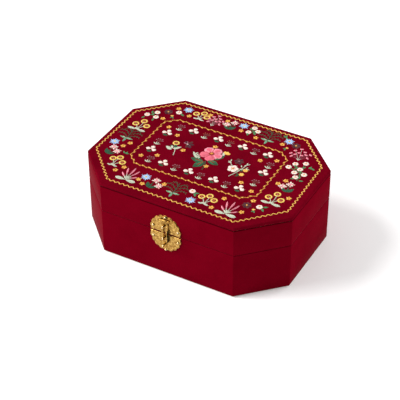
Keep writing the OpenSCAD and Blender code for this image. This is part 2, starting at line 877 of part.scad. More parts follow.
module dancer_spring() {
    sides = 8;
    rings = 12 * spring_turns;
    ends = 0.045;
    points = [for (i = [0:rings]) let (s = ends + (1 - 2 * ends) * i / rings,
            along = unit(coil_point(s + 0.002) - coil_point(s - 0.002)),
            out = unit(coil_out(s) - (coil_out(s) * along) * along), up = cross(along, out))
        for (k = [0:sides - 1])
            coil_point(s) + spring_wire * (cos(360 * k / sides) * out + sin(360 * k / sides) * up)];
    sides_faces = [for (i = [0:rings - 1], k = [0:sides - 1]) let (n = (k + 1) % sides)
        [i * sides + k, (i + 1) * sides + k, (i + 1) * sides + n, i * sides + n]];
    color(steel) polyhedron(points, concat(sides_faces,
        [[for (k = [0:sides - 1]) k]], [[for (k = [sides - 1:-1:0]) rings * sides + k]]), convexity = 10);
}

hip = dancer_h * 0.46;
waist_r = 2.1;
tutu_t = 1.6;

// Places a child that stands along +Z from the toe at the end of the bent spring.
module folded() {
    translate([0, toe_y, toe_z]) rotate([fold_deg, 0, 0]) children();
}

// The moulded figure: toe plug, legs together, bodice, head with a bun, and both arms raised.
module dancer() {
    chest = dancer_h * 0.66;
    head_z = dancer_h * 0.82;
    head_r = dancer_h * 0.078;
    color(pink) folded() union() {
        cylinder(h = 1.4, r = 3.2);
        translate([0, 0, 1.4]) cylinder(h = hip - 1.4, r1 = 0.9, r2 = waist_r);
        translate([0, 0, hip]) cylinder(h = tutu_t, r = waist_r);
        translate([0, 0, hip + tutu_t]) cylinder(h = chest - hip - tutu_t, r1 = waist_r, r2 = 2.7);
        translate([0, 0, chest]) cylinder(h = head_z - chest, r1 = 1.5, r2 = 1.1);
        translate([0, 0, head_z]) sphere(r = head_r);
        translate([0, 1.6, head_z + head_r * 0.8]) sphere(r = head_r * 0.5);
        for (s = [0, 1]) mirror([s, 0, 0]) arm();
    }
}

// One raised arm, bowed outwards and in again above the head.
module arm() {
    bow = dancer_h * 0.194;
    translate([-bow * 0.25, 0, dancer_h * 0.808]) rotate([90, 0, 0]) rotate(-55)
        rotate_extrude(angle = 118) translate([bow, 0]) circle(r = 0.7, $fn = 16);
}

module tutu() {
    color(pink) folded() translate([0, 0, hip]) difference() {
        cylinder(h = tutu_t, r1 = tutu_r - 0.4, r2 = tutu_r);
        translate([0, 0, -1]) cylinder(h = tutu_t + 2, r = waist_r);
    }
}

// ================= nodes =================

base_pad();
base_floor();
base_front_wall();
base_back_wall();
base_end_walls();
base_corner_walls();
base_covering();
base_lining();
floor_lining();
side_partitions();
cross_partitions();
housing_front_board();
movement_board();
stage_board();
stage_velvet();
ring_cushion();
ring_rolls();
lid_front_wall();
lid_back_wall();
lid_end_walls();
lid_corner_walls();
lid_covering();
lid_top_board();
lid_top_cloth();
lid_lining();
lid_ceiling();
lid_mirror();
mirror_frame();
lid_stop_tab();
base_hinge_leaves();
lid_hinge_leaves();
hinge_pins();
hinge_screws_base();
hinge_screws_lid();
clasp_upper_plate();
clasp_lower_plate();
clasp_nails_lid();
clasp_nails_base();
clasp_upper_eye();
clasp_lower_eyes();
hasp();
hasp_pin();
bedplate();
movement_bridges();
movement_screws();
comb();
winding_arbor();
winding_key();
click();
spring_barrel();
mainspring();
music_cylinder();
governor_arbor();
fan_governor();
stop_lever();
turntable();
dancer_spring();
dancer();
tutu();
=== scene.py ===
import json
from math import atan2, copysign, cos, degrees, exp, hypot, log, pi, radians, sin, sqrt, tan, tau

import bmesh
import bpy
from mathutils import Matrix, Vector, noise


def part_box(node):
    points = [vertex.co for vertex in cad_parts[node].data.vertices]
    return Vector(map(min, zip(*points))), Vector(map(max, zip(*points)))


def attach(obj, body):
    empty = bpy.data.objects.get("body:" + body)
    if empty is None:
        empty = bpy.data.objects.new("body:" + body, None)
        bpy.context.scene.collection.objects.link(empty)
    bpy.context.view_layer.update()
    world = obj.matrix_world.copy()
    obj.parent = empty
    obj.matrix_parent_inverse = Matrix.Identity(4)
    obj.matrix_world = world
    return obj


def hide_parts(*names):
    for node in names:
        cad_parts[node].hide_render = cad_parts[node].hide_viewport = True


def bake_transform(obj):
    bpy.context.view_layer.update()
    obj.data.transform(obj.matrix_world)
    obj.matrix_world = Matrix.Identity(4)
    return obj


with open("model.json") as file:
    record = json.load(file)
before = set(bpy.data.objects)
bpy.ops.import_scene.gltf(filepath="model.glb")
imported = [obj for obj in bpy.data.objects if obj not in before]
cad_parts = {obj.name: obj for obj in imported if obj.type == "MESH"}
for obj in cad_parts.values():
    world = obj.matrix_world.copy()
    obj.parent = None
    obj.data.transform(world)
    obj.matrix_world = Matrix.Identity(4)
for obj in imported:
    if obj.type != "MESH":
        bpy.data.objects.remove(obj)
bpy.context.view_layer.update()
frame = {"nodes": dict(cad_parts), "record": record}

SCENE = bpy.context.scene
MM = 0.001


def span(node):
    """Lowest and highest corner of a CAD node at rest, in millimetres."""
    low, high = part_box(node)
    return low / MM, high / MM


# ================= the case's own sizes, in millimetres =================

TOP_LOW, TOP_HIGH = span("lid_top_cloth")
HALF_W, HALF_D, TOP_Z = TOP_HIGH
PANEL_Z = TOP_LOW.z
CUT = 43.0  # each corner is cut back this far along both sides
BASE_TOP = span("base_covering")[1].z
LID_BOTTOM = span("lid_covering")[0].z
PAD_Z = span("base_pad")[1].z
SEAM_Z = (BASE_TOP + LID_BOTTOM) / 2
WALL_IN, LINING_IN = 6.6, 8.6  # depth from the outside to the walls' inner faces, and to the velvet's
FLOOR_Z = span("floor_lining")[0].z
AXIS_Y = 34.0  # the turntable's upright axis
FRONT_Y = -HALF_D
EDGE_R = 1.3  # radius of the cloth's upright arrises


# ================= mesh helpers =================

def circle(n):
    """Cosine and sine at n even steps round a circle."""
    return [(cos(tau * k / n), sin(tau * k / n)) for k in range(n)]


def posed(at, angle=0.0, axis="X"):
    """A matrix in millimetres that turns a form about an axis and moves it into place."""
    return Matrix.Translation(at) @ Matrix.Rotation(angle, 4, axis)


class Build:
    """Collects vertices in millimetres, faces with a material number, and thread coordinates."""

    def __init__(self):
        self.verts, self.faces, self.slots, self.threads = [], [], [], []

    def add(self, verts, faces, slot=0, threads=None):
        start = len(self.verts)
        self.verts += [tuple(v) for v in verts]
        self.faces += [[start + i for i in f] for f in faces]
        self.slots += [slot] * len(faces)
        self.threads += threads or [(0.0, 0.0)] * len(verts)

    def grid(self, rows, slot=0, threads=None, closed=False, first=False, last=False):
        """Quads over equal rows of points; closed joins each row's ends, first and last fill end rows."""
        n = len(rows[0])
        faces = [[i * n + k, i * n + (k + 1) % n, (i + 1) * n + (k + 1) % n, (i + 1) * n + k]
                 for i in range(len(rows) - 1) for k in range(n if closed else n - 1)]
        if first:
            faces.append(list(range(n))[::-1])
        if last:
            faces.append([(len(rows) - 1) * n + k for k in range(n)])
        flat = [t for row in threads for t in row] if threads else None
        self.add([p for row in rows for p in row], faces, slot, flat)

    def piece(self, name, materials, body, slot, node=None, sharp=40):
        """Make the object: it rides on a body and may replace a CAD node; its record slot is not used."""
        mesh = bpy.data.meshes.new(name)
        mesh.from_pydata([[c * MM for c in v] for v in self.verts], [], self.faces)
        for m in materials:
            mesh.materials.append(m)
        mesh.polygons.foreach_set("material_index", self.slots)
        if any(t != (0.0, 0.0) for t in self.threads):
            layer = mesh.uv_layers.new(name="thread")
            for loop in mesh.loops:
                layer.data[loop.index].uv = self.threads[loop.vertex_index]
        mesh.validate()
        mesh.polygons.foreach_set("use_smooth", [True] * len(mesh.polygons))
        mesh.set_sharp_from_angle(angle=radians(sharp))
        mesh.update()
        obj = bpy.data.objects.new(name, mesh)
        SCENE.collection.objects.link(obj)
        if body:
            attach(obj, body)
        if node:
            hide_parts(node)
        return obj


ARC_STEPS = 4


def rounded(points, radius):
    """A convex outline with each corner turned into an arc."""
    out = []
    for i, p in enumerate(points):
        p = Vector(p)
        u = (Vector(points[i - 1]) - p).normalized()
        v = (Vector(points[(i + 1) % len(points)]) - p).normalized()
        half = u.angle(v) / 2
        centre = p + (u + v).normalized() * radius / sin(half)
        start, end = p + u * radius / tan(half) - centre, p + v * radius / tan(half) - centre
        turn = start.angle_signed(end)
        for k in range(ARC_STEPS + 1):
            c, s = cos(-turn * k / ARC_STEPS), sin(-turn * k / ARC_STEPS)
            out.append(centre + Vector((start.x * c - start.y * s, start.x * s + start.y * c)))
    return out


def inset(points, d):
    """A convex anticlockwise outline moved inwards by d."""
    out = []
    for i, p in enumerate(points):
        p, a, b = Vector(p), Vector(points[i - 1]), Vector(points[(i + 1) % len(points)])
        u, v = (p - a).normalized(), (b - p).normalized()
        m, n = Vector((-u.y, u.x)), Vector((-v.y, v.x))
        out.append(p + (m + n) * d / (1 + m.dot(n)))
    return out


def octagon(t):
    """The case's outline moved inwards by t."""
    w, d, c = HALF_W - t, HALF_D - t, CUT - t * (2 - sqrt(2))
    return [(-w + c, -d), (w - c, -d), (w, -d + c), (w, d - c),
            (w - c, d), (-w + c, d), (-w, d - c), (-w, -d + c)]


def loft(outline, profile, cap=False):
    """A skin through loops of an outline, each given as (inset, height, corner radius)."""
    b = Build()
    b.grid([[(p.x, p.y, z) for p in rounded(inset(outline, t), r)] for t, z, r in profile],
           closed=True, last=cap)
    return b


def lathe(b, profile, place, sides=28, slot=0):
    """A turned form: profile of (radius, height), put in place by a matrix."""
    b.grid([[place @ Vector((r * c, r * s, h)) for c, s in circle(sides)] for r, h in profile],
           slot, closed=True)


def tube(b, points, radii, sides=8, slot=0, squash=1.0):
    """A round-sectioned limb through points, closed at both ends."""
    rows, side = [], None
    for i, p in enumerate(points):
        along = (Vector(points[min(i + 1, len(points) - 1)]) - Vector(points[max(i - 1, 0)])).normalized()
        if side is None:
            side = along.cross(Vector((0, 0, 1)) if abs(along.z) < 0.9 else Vector((0, 1, 0))).normalized()
        side = (side - along * side.dot(along)).normalized()
        up = along.cross(side)
        rows.append([Vector(p) + radii[i] * (side * c + up * squash * s) for c, s in circle(sides)])
    b.grid(rows, slot, closed=True, first=True, last=True)


def soft_box(b, low, high, r, slot=0, steps=3):
    """A board or block with rounded edges."""
    bm = bmesh.new()
    bmesh.ops.create_cube(bm, size=1)
    for v in bm.verts:
        v.co = Vector([(h + l) / 2 + (h - l) * c for l, h, c in zip(low, high, v.co)])
    bmesh.ops.bevel(bm, geom=bm.edges[:], offset=r, segments=steps, profile=0.5, affect="EDGES")
    bm.verts.index_update()
    b.add([v.co[:] for v in bm.verts], [[v.index for v in f.verts] for f in bm.faces], slot)
    bm.free()


# ================= materials =================

def srgb(*levels):
    """A display colour of three levels from 0 to 255, as linear light."""
    shares = [c / 255 for c in levels]
    return tuple(c / 12.92 if c <= 0.04045 else ((c + 0.055) / 1.055) ** 2.4 for c in shares) + (1,)


def toned(colour, gain, lift=0.0):
    return tuple(min(1, c * gain + lift) for c in colour[:3]) + (1,)


class Shader:
    """One Principled material with procedural colour, roughness and relief."""

    def __init__(self, name, **fixed):
        self.m = bpy.data.materials.new(name)
        self.m.use_nodes = True
        self.tree = self.m.node_tree
        self.out = self.tree.nodes["Principled BSDF"]
        for socket, value in fixed.items():
            self.out.inputs[socket.replace("_", " ")].default_value = value
        self.where = self.node("ShaderNodeTexCoord").outputs["Object"]

    def node(self, kind, inputs=(), **settings):
        n = self.tree.nodes.new(kind)
        for k, v in settings.items():
            setattr(n, k, v)
        for k, v in dict(inputs).items():
            if isinstance(v, bpy.types.NodeSocket):
                self.tree.links.new(v, n.inputs[k])
            else:
                n.inputs[k].default_value = v
        return n

    def noise(self, size, detail, stretch=(1, 1, 1)):
        """Noise whose features are about size millimetres."""
        at = self.node("ShaderNodeMapping", {0: self.where, "Scale": stretch}).outputs[0]
        return self.node("ShaderNodeTexNoise", {0: at, "Scale": 1 / (size * MM), "Detail": detail,
                                                "Roughness": 0.6}).outputs[0]

    def ramp(self, value, low, high, a=0.0, b=1.0):
        return self.node("ShaderNodeMapRange", {0: value, 1: low, 2: high, 3: a, 4: b}).outputs[0]

    def math(self, operation, a, b=0.0):
        return self.node("ShaderNodeMath", {0: a, 1: b}, operation=operation).outputs[0]

    def mix(self, factor, a, b):
        return self.node("ShaderNodeMix", {0: factor, 6: a, 7: b}, data_type="RGBA").outputs[2]

    def relief(self, height, depth, over=None):
        """Bump of about depth millimetres, over another bump where one is given."""
        inputs = {"Height": height, "Distance": depth * MM, "Strength": 1.0}
        if over is not None:
            inputs["Normal"] = over
        return self.node("ShaderNodeBump", inputs).outputs[0]

    def finish(self, colour, roughness, normal=None):
        for socket, value in (("Base Color", colour), ("Roughness", roughness), ("Normal", normal)):
            if value is not None:
                self.tree.links.new(value, self.out.inputs[socket])
        return self.m


def cloth_material(name, colour, deep, grain, depth, sheen, painted_shade_heights=(), even=0.72):
    """Woven cloth: crossed threads, uneven dye, a little sheen, and painted shade in dark bands at given
    heights.
    """
    s = Shader(name, Sheen_Weight=sheen, Sheen_Roughness=0.2, Specular_IOR_Level=0.0)
    broad, fine = s.noise(24, 4), s.noise(grain, 2)
    dye = s.mix(s.ramp(broad, 0.35, 0.65), deep, colour)
    speck = s.mix(s.ramp(fine, 0.3, 0.7), toned(deep, 0.74), dye)
    tone = s.mix(even, speck, dye)
    height = s.node("ShaderNodeSeparateXYZ", {0: s.where}).outputs[2]
    # Painted shade: each band darkens the cloth towards near-black at its height, where the seam and the
    # panel's groove lie in shadow.
    for z, half, strength in painted_shade_heights:
        away = s.math("ABSOLUTE", s.math("SUBTRACT", height, z * MM))
        dark = s.ramp(away, half * 0.35 * MM, half * MM, strength, 0)
        tone = s.mix(dark, tone, toned(deep, 0.16))
    weave = s.node("ShaderNodeTexWave", {0: s.where, "Scale": 1 / (grain * 9 * MM), "Distortion": 1.5,
                                         "Detail": 1.0}, bands_direction="DIAGONAL").outputs[1]
    relief = s.relief(s.math("ADD", fine, s.math("MULTIPLY", weave, 0.5)), depth)
    return s.finish(tone, s.ramp(fine, 0.3, 0.7, 0.55, 0.75), relief)


def velvet_material(name, colour, deep):
    """Short pile: strong sheen, brushed patches and a fine grain."""
    s = Shader(name, Sheen_Weight=0.9, Sheen_Roughness=0.35, Sheen_Tint=(1.0, 0.86, 0.84, 1),
               Specular_IOR_Level=0.15)
    brushed, pile = s.noise(13, 3, (1, 0.6, 1)), s.noise(0.35, 2)
    tone = s.mix(s.ramp(brushed, 0.36, 0.64), deep, s.mix(s.ramp(pile, 0.3, 0.7), deep, colour))
    relief = s.relief(pile, 0.12, s.relief(brushed, 0.35))
    return s.finish(tone, s.ramp(brushed, 0.3, 0.7, 0.75, 0.95), relief)


def metal_material(name, light, dark, rough, brushed=(1, 1, 1), stain=6):
    """Worn metal: tarnish in patches, brushed or cast grain and softened edges."""
    s = Shader(name, Metallic=1.0)
    patches, grain = s.noise(stain, 5), s.noise(0.5, 2, brushed)
    edge = s.node("ShaderNodeBevel", {"Radius": 0.25 * MM}, samples=6).outputs[0]
    return s.finish(s.mix(s.ramp(patches, 0.38, 0.66), dark, light),
                    s.ramp(s.math("ADD", patches, grain), 0.7, 1.3, rough[1], rough[0]),
                    s.relief(grain, 0.012, edge))


THREAD_PITCH = 0.62


def thread_material(name, colour):
    """Satin stitch: parallel threads along the piece's thread coordinate."""
    s = Shader(name, Sheen_Weight=0.04, Sheen_Roughness=0.3, Specular_IOR_Level=0.22)
    at = s.node("ShaderNodeUVMap", uv_map="thread").outputs[0]
    across = s.node("ShaderNodeSeparateXYZ", {0: at}).outputs[0]
    uneven = s.noise(1.4, 2)
    wave = s.math("SINE", s.math("ADD", s.math("MULTIPLY", across, tau / THREAD_PITCH),
                                 s.math("MULTIPLY", uneven, 3.0)))
    body = s.ramp(wave, -1, 1)
    share = s.ramp(s.math("ADD", body, s.math("MULTIPLY", uneven, 0.8)), 0.25, 1.05)
    return s.finish(s.mix(share, toned(colour, 0.66), toned(colour, 1.08, 0.01)),
                    s.ramp(body, 0, 1, 0.75, 0.5), s.relief(body, 0.14))


def patchy_material(name, low, high, patch, grain, depth, rough, until=0.65, **fixed):
    """Two shades in soft patches and a fine grain; patch and grain are noises' sizes and details."""
    s = Shader(name, **fixed)
    tone = s.noise(*patch)
    return s.finish(s.mix(s.ramp(tone, 0.35, until), low, high), s.ramp(tone, 0.3, 0.7, *rough),
                    s.relief(s.noise(*grain), depth))


def plastic_material(name, colour, shade, rough=(0.28, 0.42)):
    """Moulded plastic with a hand-painted unevenness."""
    return patchy_material(name, colour, shade, (2.2, 3), (0.4, 2), 0.01, rough, 0.7, Specular_IOR_Level=0.5)


# The crimson cloth has painted shade along the seam and along the groove under the top panel.
CRIMSON = cloth_material("crimson_cloth", srgb(113, 2, 22), srgb(106, 1, 19), 0.5, 0.03, 0.13,
                         painted_shade_heights=((SEAM_Z, 0.8, 0.15), (PANEL_Z, 1.2, 0.75)))
TOP_CLOTH = cloth_material("crimson_top", srgb(117, 4, 25), srgb(101, 2, 20), 1.0, 0.1, 0.06,
                           painted_shade_heights=((PANEL_Z, 0.9, 0.75),), even=0.3)
VELVET = velvet_material("rose_velvet", srgb(188, 128, 128), srgb(164, 100, 104))
FELT = cloth_material("dark_felt", srgb(60, 12, 22), srgb(40, 8, 16), 0.7, 0.15, 0.2)
FIBRE = (0.8, 4, (1, 1, 3))
BOARD = patchy_material("fibreboard", srgb(140, 110, 78), srgb(176, 146, 108), FIBRE, FIBRE, 0.06,
                        (0.7, 0.9), Specular_IOR_Level=0.2)
BRASS = metal_material("brass", srgb(222, 178, 92), srgb(178, 128, 56), (0.2, 0.36))
BRASS_PLATE = metal_material("brass_plate", srgb(220, 180, 100), srgb(150, 108, 46), (0.34, 0.56), stain=2.2)
BRASS_EDGE = metal_material("brass_edge", srgb(164, 122, 58), srgb(112, 78, 32), (0.45, 0.65), stain=2.2)
# Near-white brass for the eye loops and nail domes, lighter than the rest of the clasp so they glint: painted
# highlight.
HIGHLIGHT_BRASS = metal_material("highlight_brass", srgb(255, 240, 200), srgb(236, 204, 140), (0.1, 0.2))
# Near-black brass laid where shadow falls beside and behind the clasp's fittings: painted shade.
SHADE_METAL = metal_material("painted_shade_metal", srgb(28, 20, 10), srgb(12, 8, 5), (0.5, 0.7), stain=2)
STEEL = metal_material("steel", srgb(206, 206, 210), srgb(160, 160, 166), (0.2, 0.35), brushed=(1, 1, 8))
ZINC = metal_material("zinc_casting", srgb(170, 171, 173), srgb(130, 131, 134), (0.45, 0.6))
MIRROR = metal_material("silvered_glass", srgb(240, 242, 242), srgb(232, 236, 236), (0.01, 0.03), stain=40)
SKIN = plastic_material("doll_skin", srgb(244, 205, 184), srgb(236, 188, 168))
BODICE = plastic_material("doll_bodice", srgb(240, 168, 182), srgb(228, 146, 164))
HAIR = plastic_material("doll_hair", srgb(92, 54, 34), srgb(70, 38, 24), (0.3, 0.5))
SHOE = plastic_material("doll_shoes", srgb(238, 160, 176), srgb(222, 140, 160))
LIPS = plastic_material("doll_lips", srgb(196, 76, 84), srgb(180, 64, 74))
DARK = plastic_material("dark_paint", srgb(40, 24, 20), srgb(30, 18, 16))
TURNTABLE = plastic_material("turntable_plastic", srgb(244, 214, 208), srgb(236, 200, 196))
TULLE = patchy_material("pink_tulle", srgb(236, 160, 180), srgb(250, 196, 208), (1.6, 2), (0.3, 1), 0.03,
                        (0.6, 0.8), Sheen_Weight=0.5, Sheen_Roughness=0.4, Specular_IOR_Level=0.2)

BY_SLOT = {"board": BOARD, "brass": BRASS, "steel": STEEL, "zinc": ZINC, "glass_mirror": MIRROR,
           "velvet": VELVET, "crimson_cloth": CRIMSON, "felt": FELT, "doll_plastic": SKIN, "tulle": BODICE}
for part in frame["record"]["subparts"]:
    finish = frame["nodes"][part["node"]].data.materials
    finish.clear()
    finish.append(BY_SLOT[part["material_slot"]])

THREADS = {
    "gold": (250, 190, 88), "ochre": (226, 158, 58), "yellow": (250, 210, 100), "rust": (152, 44, 16),
    "brown": (84, 26, 26), "blue": (172, 204, 242), "cream": (252, 230, 216), "blush": (236, 166, 160),
    "pink": (252, 158, 174), "coral": (232, 106, 126), "pale": (202, 212, 188), "sage": (112, 170, 132),
    "green": (66, 136, 82), "deep": (24, 82, 50), "moss": (54, 84, 54), "umber": (120, 62, 56),
    "maroon": (66, 14, 30), "mauve": (150, 92, 106),
}
THREAD_NAMES = list(THREADS)
THREAD_MATERIALS = [thread_material("thread_" + n, srgb(*c)) for n, c in THREADS.items()]


# ================= cloth over the case =================

def turned_edge(z, up):
    """The cloth's way over an edge at z: down its face, across the wall's end and into the case."""
    return [(t, z + up * d, r) for t, d, r in (
        (0, -1.2, EDGE_R), (0.08, -0.6, EDGE_R), (0.26, -0.16, EDGE_R), (0.56, 0.04, 1.0),
        (WALL_IN - 0.5, 0.04, 0.6), (WALL_IN - 0.1, -0.2, 0.5), (WALL_IN, -2.4, 0.5))]


def covering(name, profile, body, node):
    """Cloth stretched round the base or the lid, cut from a strip as long as the girth."""
    obj = loft(octagon(0), profile).piece(name, [CRIMSON], body, "crimson_cloth", node, 60)


covering("base_cloth", [
    (6.0, PAD_Z + 0.02, 0.6), (1.2, PAD_Z + 0.02, 1.0), (0.3, PAD_Z + 0.35, EDGE_R), (0, PAD_Z + 1.2, EDGE_R),
    (-0.02, BASE_TOP * 0.35, EDGE_R), (0, BASE_TOP * 0.7, EDGE_R)] + turned_edge(BASE_TOP, 1),
    "case", "base_covering")
covering("lid_cloth", turned_edge(LID_BOTTOM, -1)[::-1] + [
    (-0.02, (LID_BOTTOM + PANEL_Z) / 2, EDGE_R), (0, PANEL_Z - 1.3, EDGE_R), (0.12, PANEL_Z - 0.8, EDGE_R),
    (0.35, PANEL_Z - 0.35, EDGE_R), (0.58, PANEL_Z - 0.03, 1.0), (0.74, PANEL_Z + 0.005, 0.9)],
    "lid", "lid_covering")

top = loft(octagon(0), [
    (3.0, PANEL_Z - 0.01, 0.8), (0.72, PANEL_Z - 0.01, 0.9), (0.3, PANEL_Z + 0.25, 1.2),
    (0.06, PANEL_Z + 0.7, 1.5), (0, PANEL_Z + 1.3, 1.6), (0.02, TOP_Z - 1.7, 1.7), (0.25, TOP_Z - 0.9, 1.8),
    (0.75, TOP_Z - 0.35, 1.8), (1.6, TOP_Z - 0.06, 1.8), (2.8, TOP_Z, 1.8), (9, TOP_Z, 3), (30, TOP_Z, 6),
    (55, TOP_Z, 8)], cap=True)
top.piece("lid_top_cover", [TOP_CLOTH], "lid", "crimson_cloth", "lid_top_cloth", 60)

loft(octagon(2), [(0.3, PAD_Z, 1), (0, 0.5, 1.2), (0.1, 0.15, 1.2), (0.8, 0.0, 1), (20, 0.0, 1)],
     cap=True).piece("base_felt", [FELT], "case", "felt", "base_pad", 60)


# ================= stitched decoration =================

class Stitches(Build):
    """Raised satin stitches on the top, drawn in a frame that can be moved and turned."""

    x = y = turn = 0.0

    def at(self, x, y, turn=0.0):
        """Move to a place in the design, which lies slightly askew on the panel."""
        self.x, self.y = x * 0.997 - y * 0.006 - 1.05, y * 1.001 - x * 0.011 + 1.25
        self.turn = radians(turn)
        return self

    def put(self, x, y, rise):
        c, s = cos(self.turn), sin(self.turn)
        return (self.x + c * x - s * y, self.y + s * x + c * y, TOP_Z - 0.04 + rise)

    def lay(self, rows, colour, threads):
        self.grid(rows, THREAD_NAMES.index(colour), threads)

    def petal(self, x, y, angle, length, width, colour, rise=0.5, belly=0.6, full=0.7, across=False,
              lift=0.0, fine=False):
        """A domed petal from its root, widest at belly, with threads along it or slanting across it."""
        c, s = cos(radians(angle)), sin(radians(angle))
        power = log(0.5) / log(belly)
        along, over = (4, 2) if fine else (7, 4)
        rows, threads = [], []
        for i in range(along + 1):
            u = i / along
            half = width / 2 * max(0.0, sin(pi * u ** power)) ** full
            row, line = [], []
            for k in range(over + 1):
                v = 2 * k / over - 1
                px, py = u * length, v * half
                dome = rise * (1 - v * v) * min(1.0, 0.45 + 4 * u * (1 - u)) if 0 < i < along else 0.06
                row.append(self.put(x + px * c - py * s, y + px * s + py * c, lift + dome))
                line.append((px + 0.9 * abs(v) * half, v) if across else (py, u))
            rows.append(row)
            threads.append(line)
        self.lay(rows, colour, threads)

    def fan(self, x, y, angles, length, width, *colours, **look):
        """Petals at several angles, whose colours take turns."""
        for k, a in enumerate(angles):
            self.petal(x, y, a, length, width, colours[k % len(colours)], **look)

    def veins(self, x, y, angles, length, width, colour, rise=0.3, lift=0.35):
        """Fine threads laid over a petal."""
        self.fan(x, y, angles, length, width, colour, rise=rise, lift=lift, fine=True)

    def leaf(self, x, y, angle, length=5.0, width=2.4, colour="green"):
        self.petal(x, y, angle, length, width, colour, rise=0.45, belly=0.45, full=0.85, across=True)

    def leaves(self, places, length, width, colour="green"):
        for place in places:
            self.leaf(*place, length, width, colour)

    def disc(self, x, y, r, colour, rise=0.45, lift=0.0, inner=0.0, sides=14):
        """A domed spot, or a raised ring where inner is given, with threads running outwards."""
        rows, threads = [], []
        for u in (0, 0.25, 0.5, 0.75, 1):
            if inner:
                d, h = inner + (r - inner) * u, sin(pi * u)
            else:
                d, h = r * u, cos(pi / 2 * u) ** 0.6 if u < 1 else 0
            turns = [tau * k / sides for k in range(sides + 1)]
            rows.append([self.put(x + d * cos(a), y + d * sin(a), lift + rise * h) for a in turns])
            threads.append([(a * r * 0.8, d) for a in turns])
        self.lay(rows, colour, threads)

    def stem(self, points, width, colour, rise=0.4):
        """A half-round line of stem stitch through points."""
        points = [Vector(p) for p in points]
        rows, threads, run = [], [], 0.0
        for i, p in enumerate(points):
            d = (points[min(i + 1, len(points) - 1)] - points[max(i - 1, 0)]).normalized()
            if i:
                run += (p - points[i - 1]).length
            row, line = [], []
            for v in (-1, -0.5, 0, 0.5, 1):
                q = p + Vector((-d.y, d.x)) * v * width / 2
                row.append(self.put(q.x, q.y, rise * sqrt(1 - v * v)))
                line.append((run + v * width * 0.5, v))
            rows.append(row)
            threads.append(line)
        self.lay(rows, colour, threads)

    def curve(self, a, b, bow, width, colour, rise=0.35, steps=6):
        """A stem from a to b that bows sideways."""
        a, b = Vector(a), Vector(b)
        n = Vector((a.y - b.y, b.x - a.x)).normalized()
        self.stem([a.lerp(b, i / steps) + n * bow * sin(pi * i / steps) for i in range(steps + 1)],
                  width, colour, rise)

    def finish(self, name):
        used = sorted(set(self.slots))
        self.slots = [used.index(s) for s in self.slots]
        return self.piece(name, [THREAD_MATERIALS[i] for i in used], "lid", "crimson_cloth", sharp=60)


PER_WAVE = 8


def waves_along(corners, period, amplitude, sharpness=1.0):
    """Points of a wave that runs round a closed outline, with whole waves on every side."""
    points = []
    for i, a in enumerate(corners):
        a, b = Vector(a), Vector(corners[(i + 1) % len(corners)])
        d = (b - a).normalized()
        waves = max(1, round((b - a).length / period))
        for k in range(waves * PER_WAVE):
            u = k / (waves * PER_WAVE)
            w = sin(tau * u * waves)
            rise = amplitude * copysign(abs(w) ** sharpness, w)
            points.append(a.lerp(b, u) + Vector((-d.y, d.x)) * rise)
    return points


BRAID = [(-74, -79), (72.3, -79), (111.5, -38), (109.5, 45), (74.5, 81.7), (-75, 81.7), (-113.8, 42),
         (-113.8, -37.5)]
VINE = [(-63.8, -41.8), (60.3, -41.8), (73, -30), (72.2, 40), (60.3, 49.5), (-63.8, 50), (-75.6, 39.5),
        (-75.6, -31)]

braid = Stitches()
wave = waves_along(BRAID, 5.6, 0.95, 0.85)
braid.stem(wave + wave[:1], 1.05, "gold", rise=0.45)
braid.finish("braid_border")

vine = Stitches()
wave = waves_along(VINE, 7.9, 0.6)
vine.stem(wave + wave[:1], 0.8, "ochre")
for i in range(2, len(wave), PER_WAVE):
    p, q = wave[i], wave[(i + PER_WAVE // 2) % len(wave)]
    d = wave[(i + 1) % len(wave)] - wave[i - 1]
    face = degrees(atan2(d.y, d.x))
    vine.disc(*p, 1.0, "gold", rise=0.6, sides=10)
    vine.petal(*p, face + 150, 2.0, 1.0, "gold", rise=0.4, fine=True)
    vine.petal(*q, face - 25, 1.7, 0.9, "gold", rise=0.35, fine=True)
vine.finish("vine_border")


def turns(n, start=0):
    """Angles in degrees at n even steps."""
    return [start + 360 / n * k for k in range(n)]


def heading(a):
    """The sideways and upward parts of a direction a degrees clockwise of straight up."""
    return sin(radians(a)), cos(radians(a))


def star(s, x, y, turn):
    s.at(x, y, turn)
    s.fan(0, 0, turns(5, 90), 3.0, 2.3, "gold", "ochre", rise=0.45, fine=True)
    s.disc(0, 0, 0.7, "rust", rise=0.6, sides=8)


def daisy(s, x, y):
    s.at(x, y, x)
    for k in range(12):
        s.petal(0, 0, 30 * k, 6.0 if k % 2 else 4.9, 1.6, "blue", belly=0.5)
    s.disc(0, 0, 1.7, "yellow", rise=0.75, sides=10)


def ring_head(s, x, y):
    s.disc(x, y, 2.5, "rust", rise=0.46)
    s.disc(x, y, 3.8, "yellow", rise=0.5, inner=2.1, sides=18)
    s.disc(x, y, 0.7, "gold", rise=0.6, sides=9)


def ring_trio(s, x, y, heads, reach):
    """Three ringed flowers on pale stems over a spread of pale leaves."""
    s.at(x, y)
    for head in heads:
        s.curve((0, 0.5), head, 0.8 if head[0] > 0 else -0.8, 0.8, "pale")
    s.fan(0, 0, (0, 180), reach, reach * 0.36, "pale", rise=0.55, across=True)
    s.fan(0, 0, (40, 65, 115, 140), 3.6, 1.7, "pale", fine=True)
    for head in heads:
        ring_head(s, *head)


def rosette(s, x, y, r=3.5):
    s.fan(x, y, turns(6, 15), r, r * 0.98, "cream", belly=0.66)
    s.veins(x, y, turns(6, 45), r * 0.6, 0.7, "blush", lift=0.3)
    s.disc(x, y, 1.05, "ochre", rise=0.35, lift=0.35, sides=8)


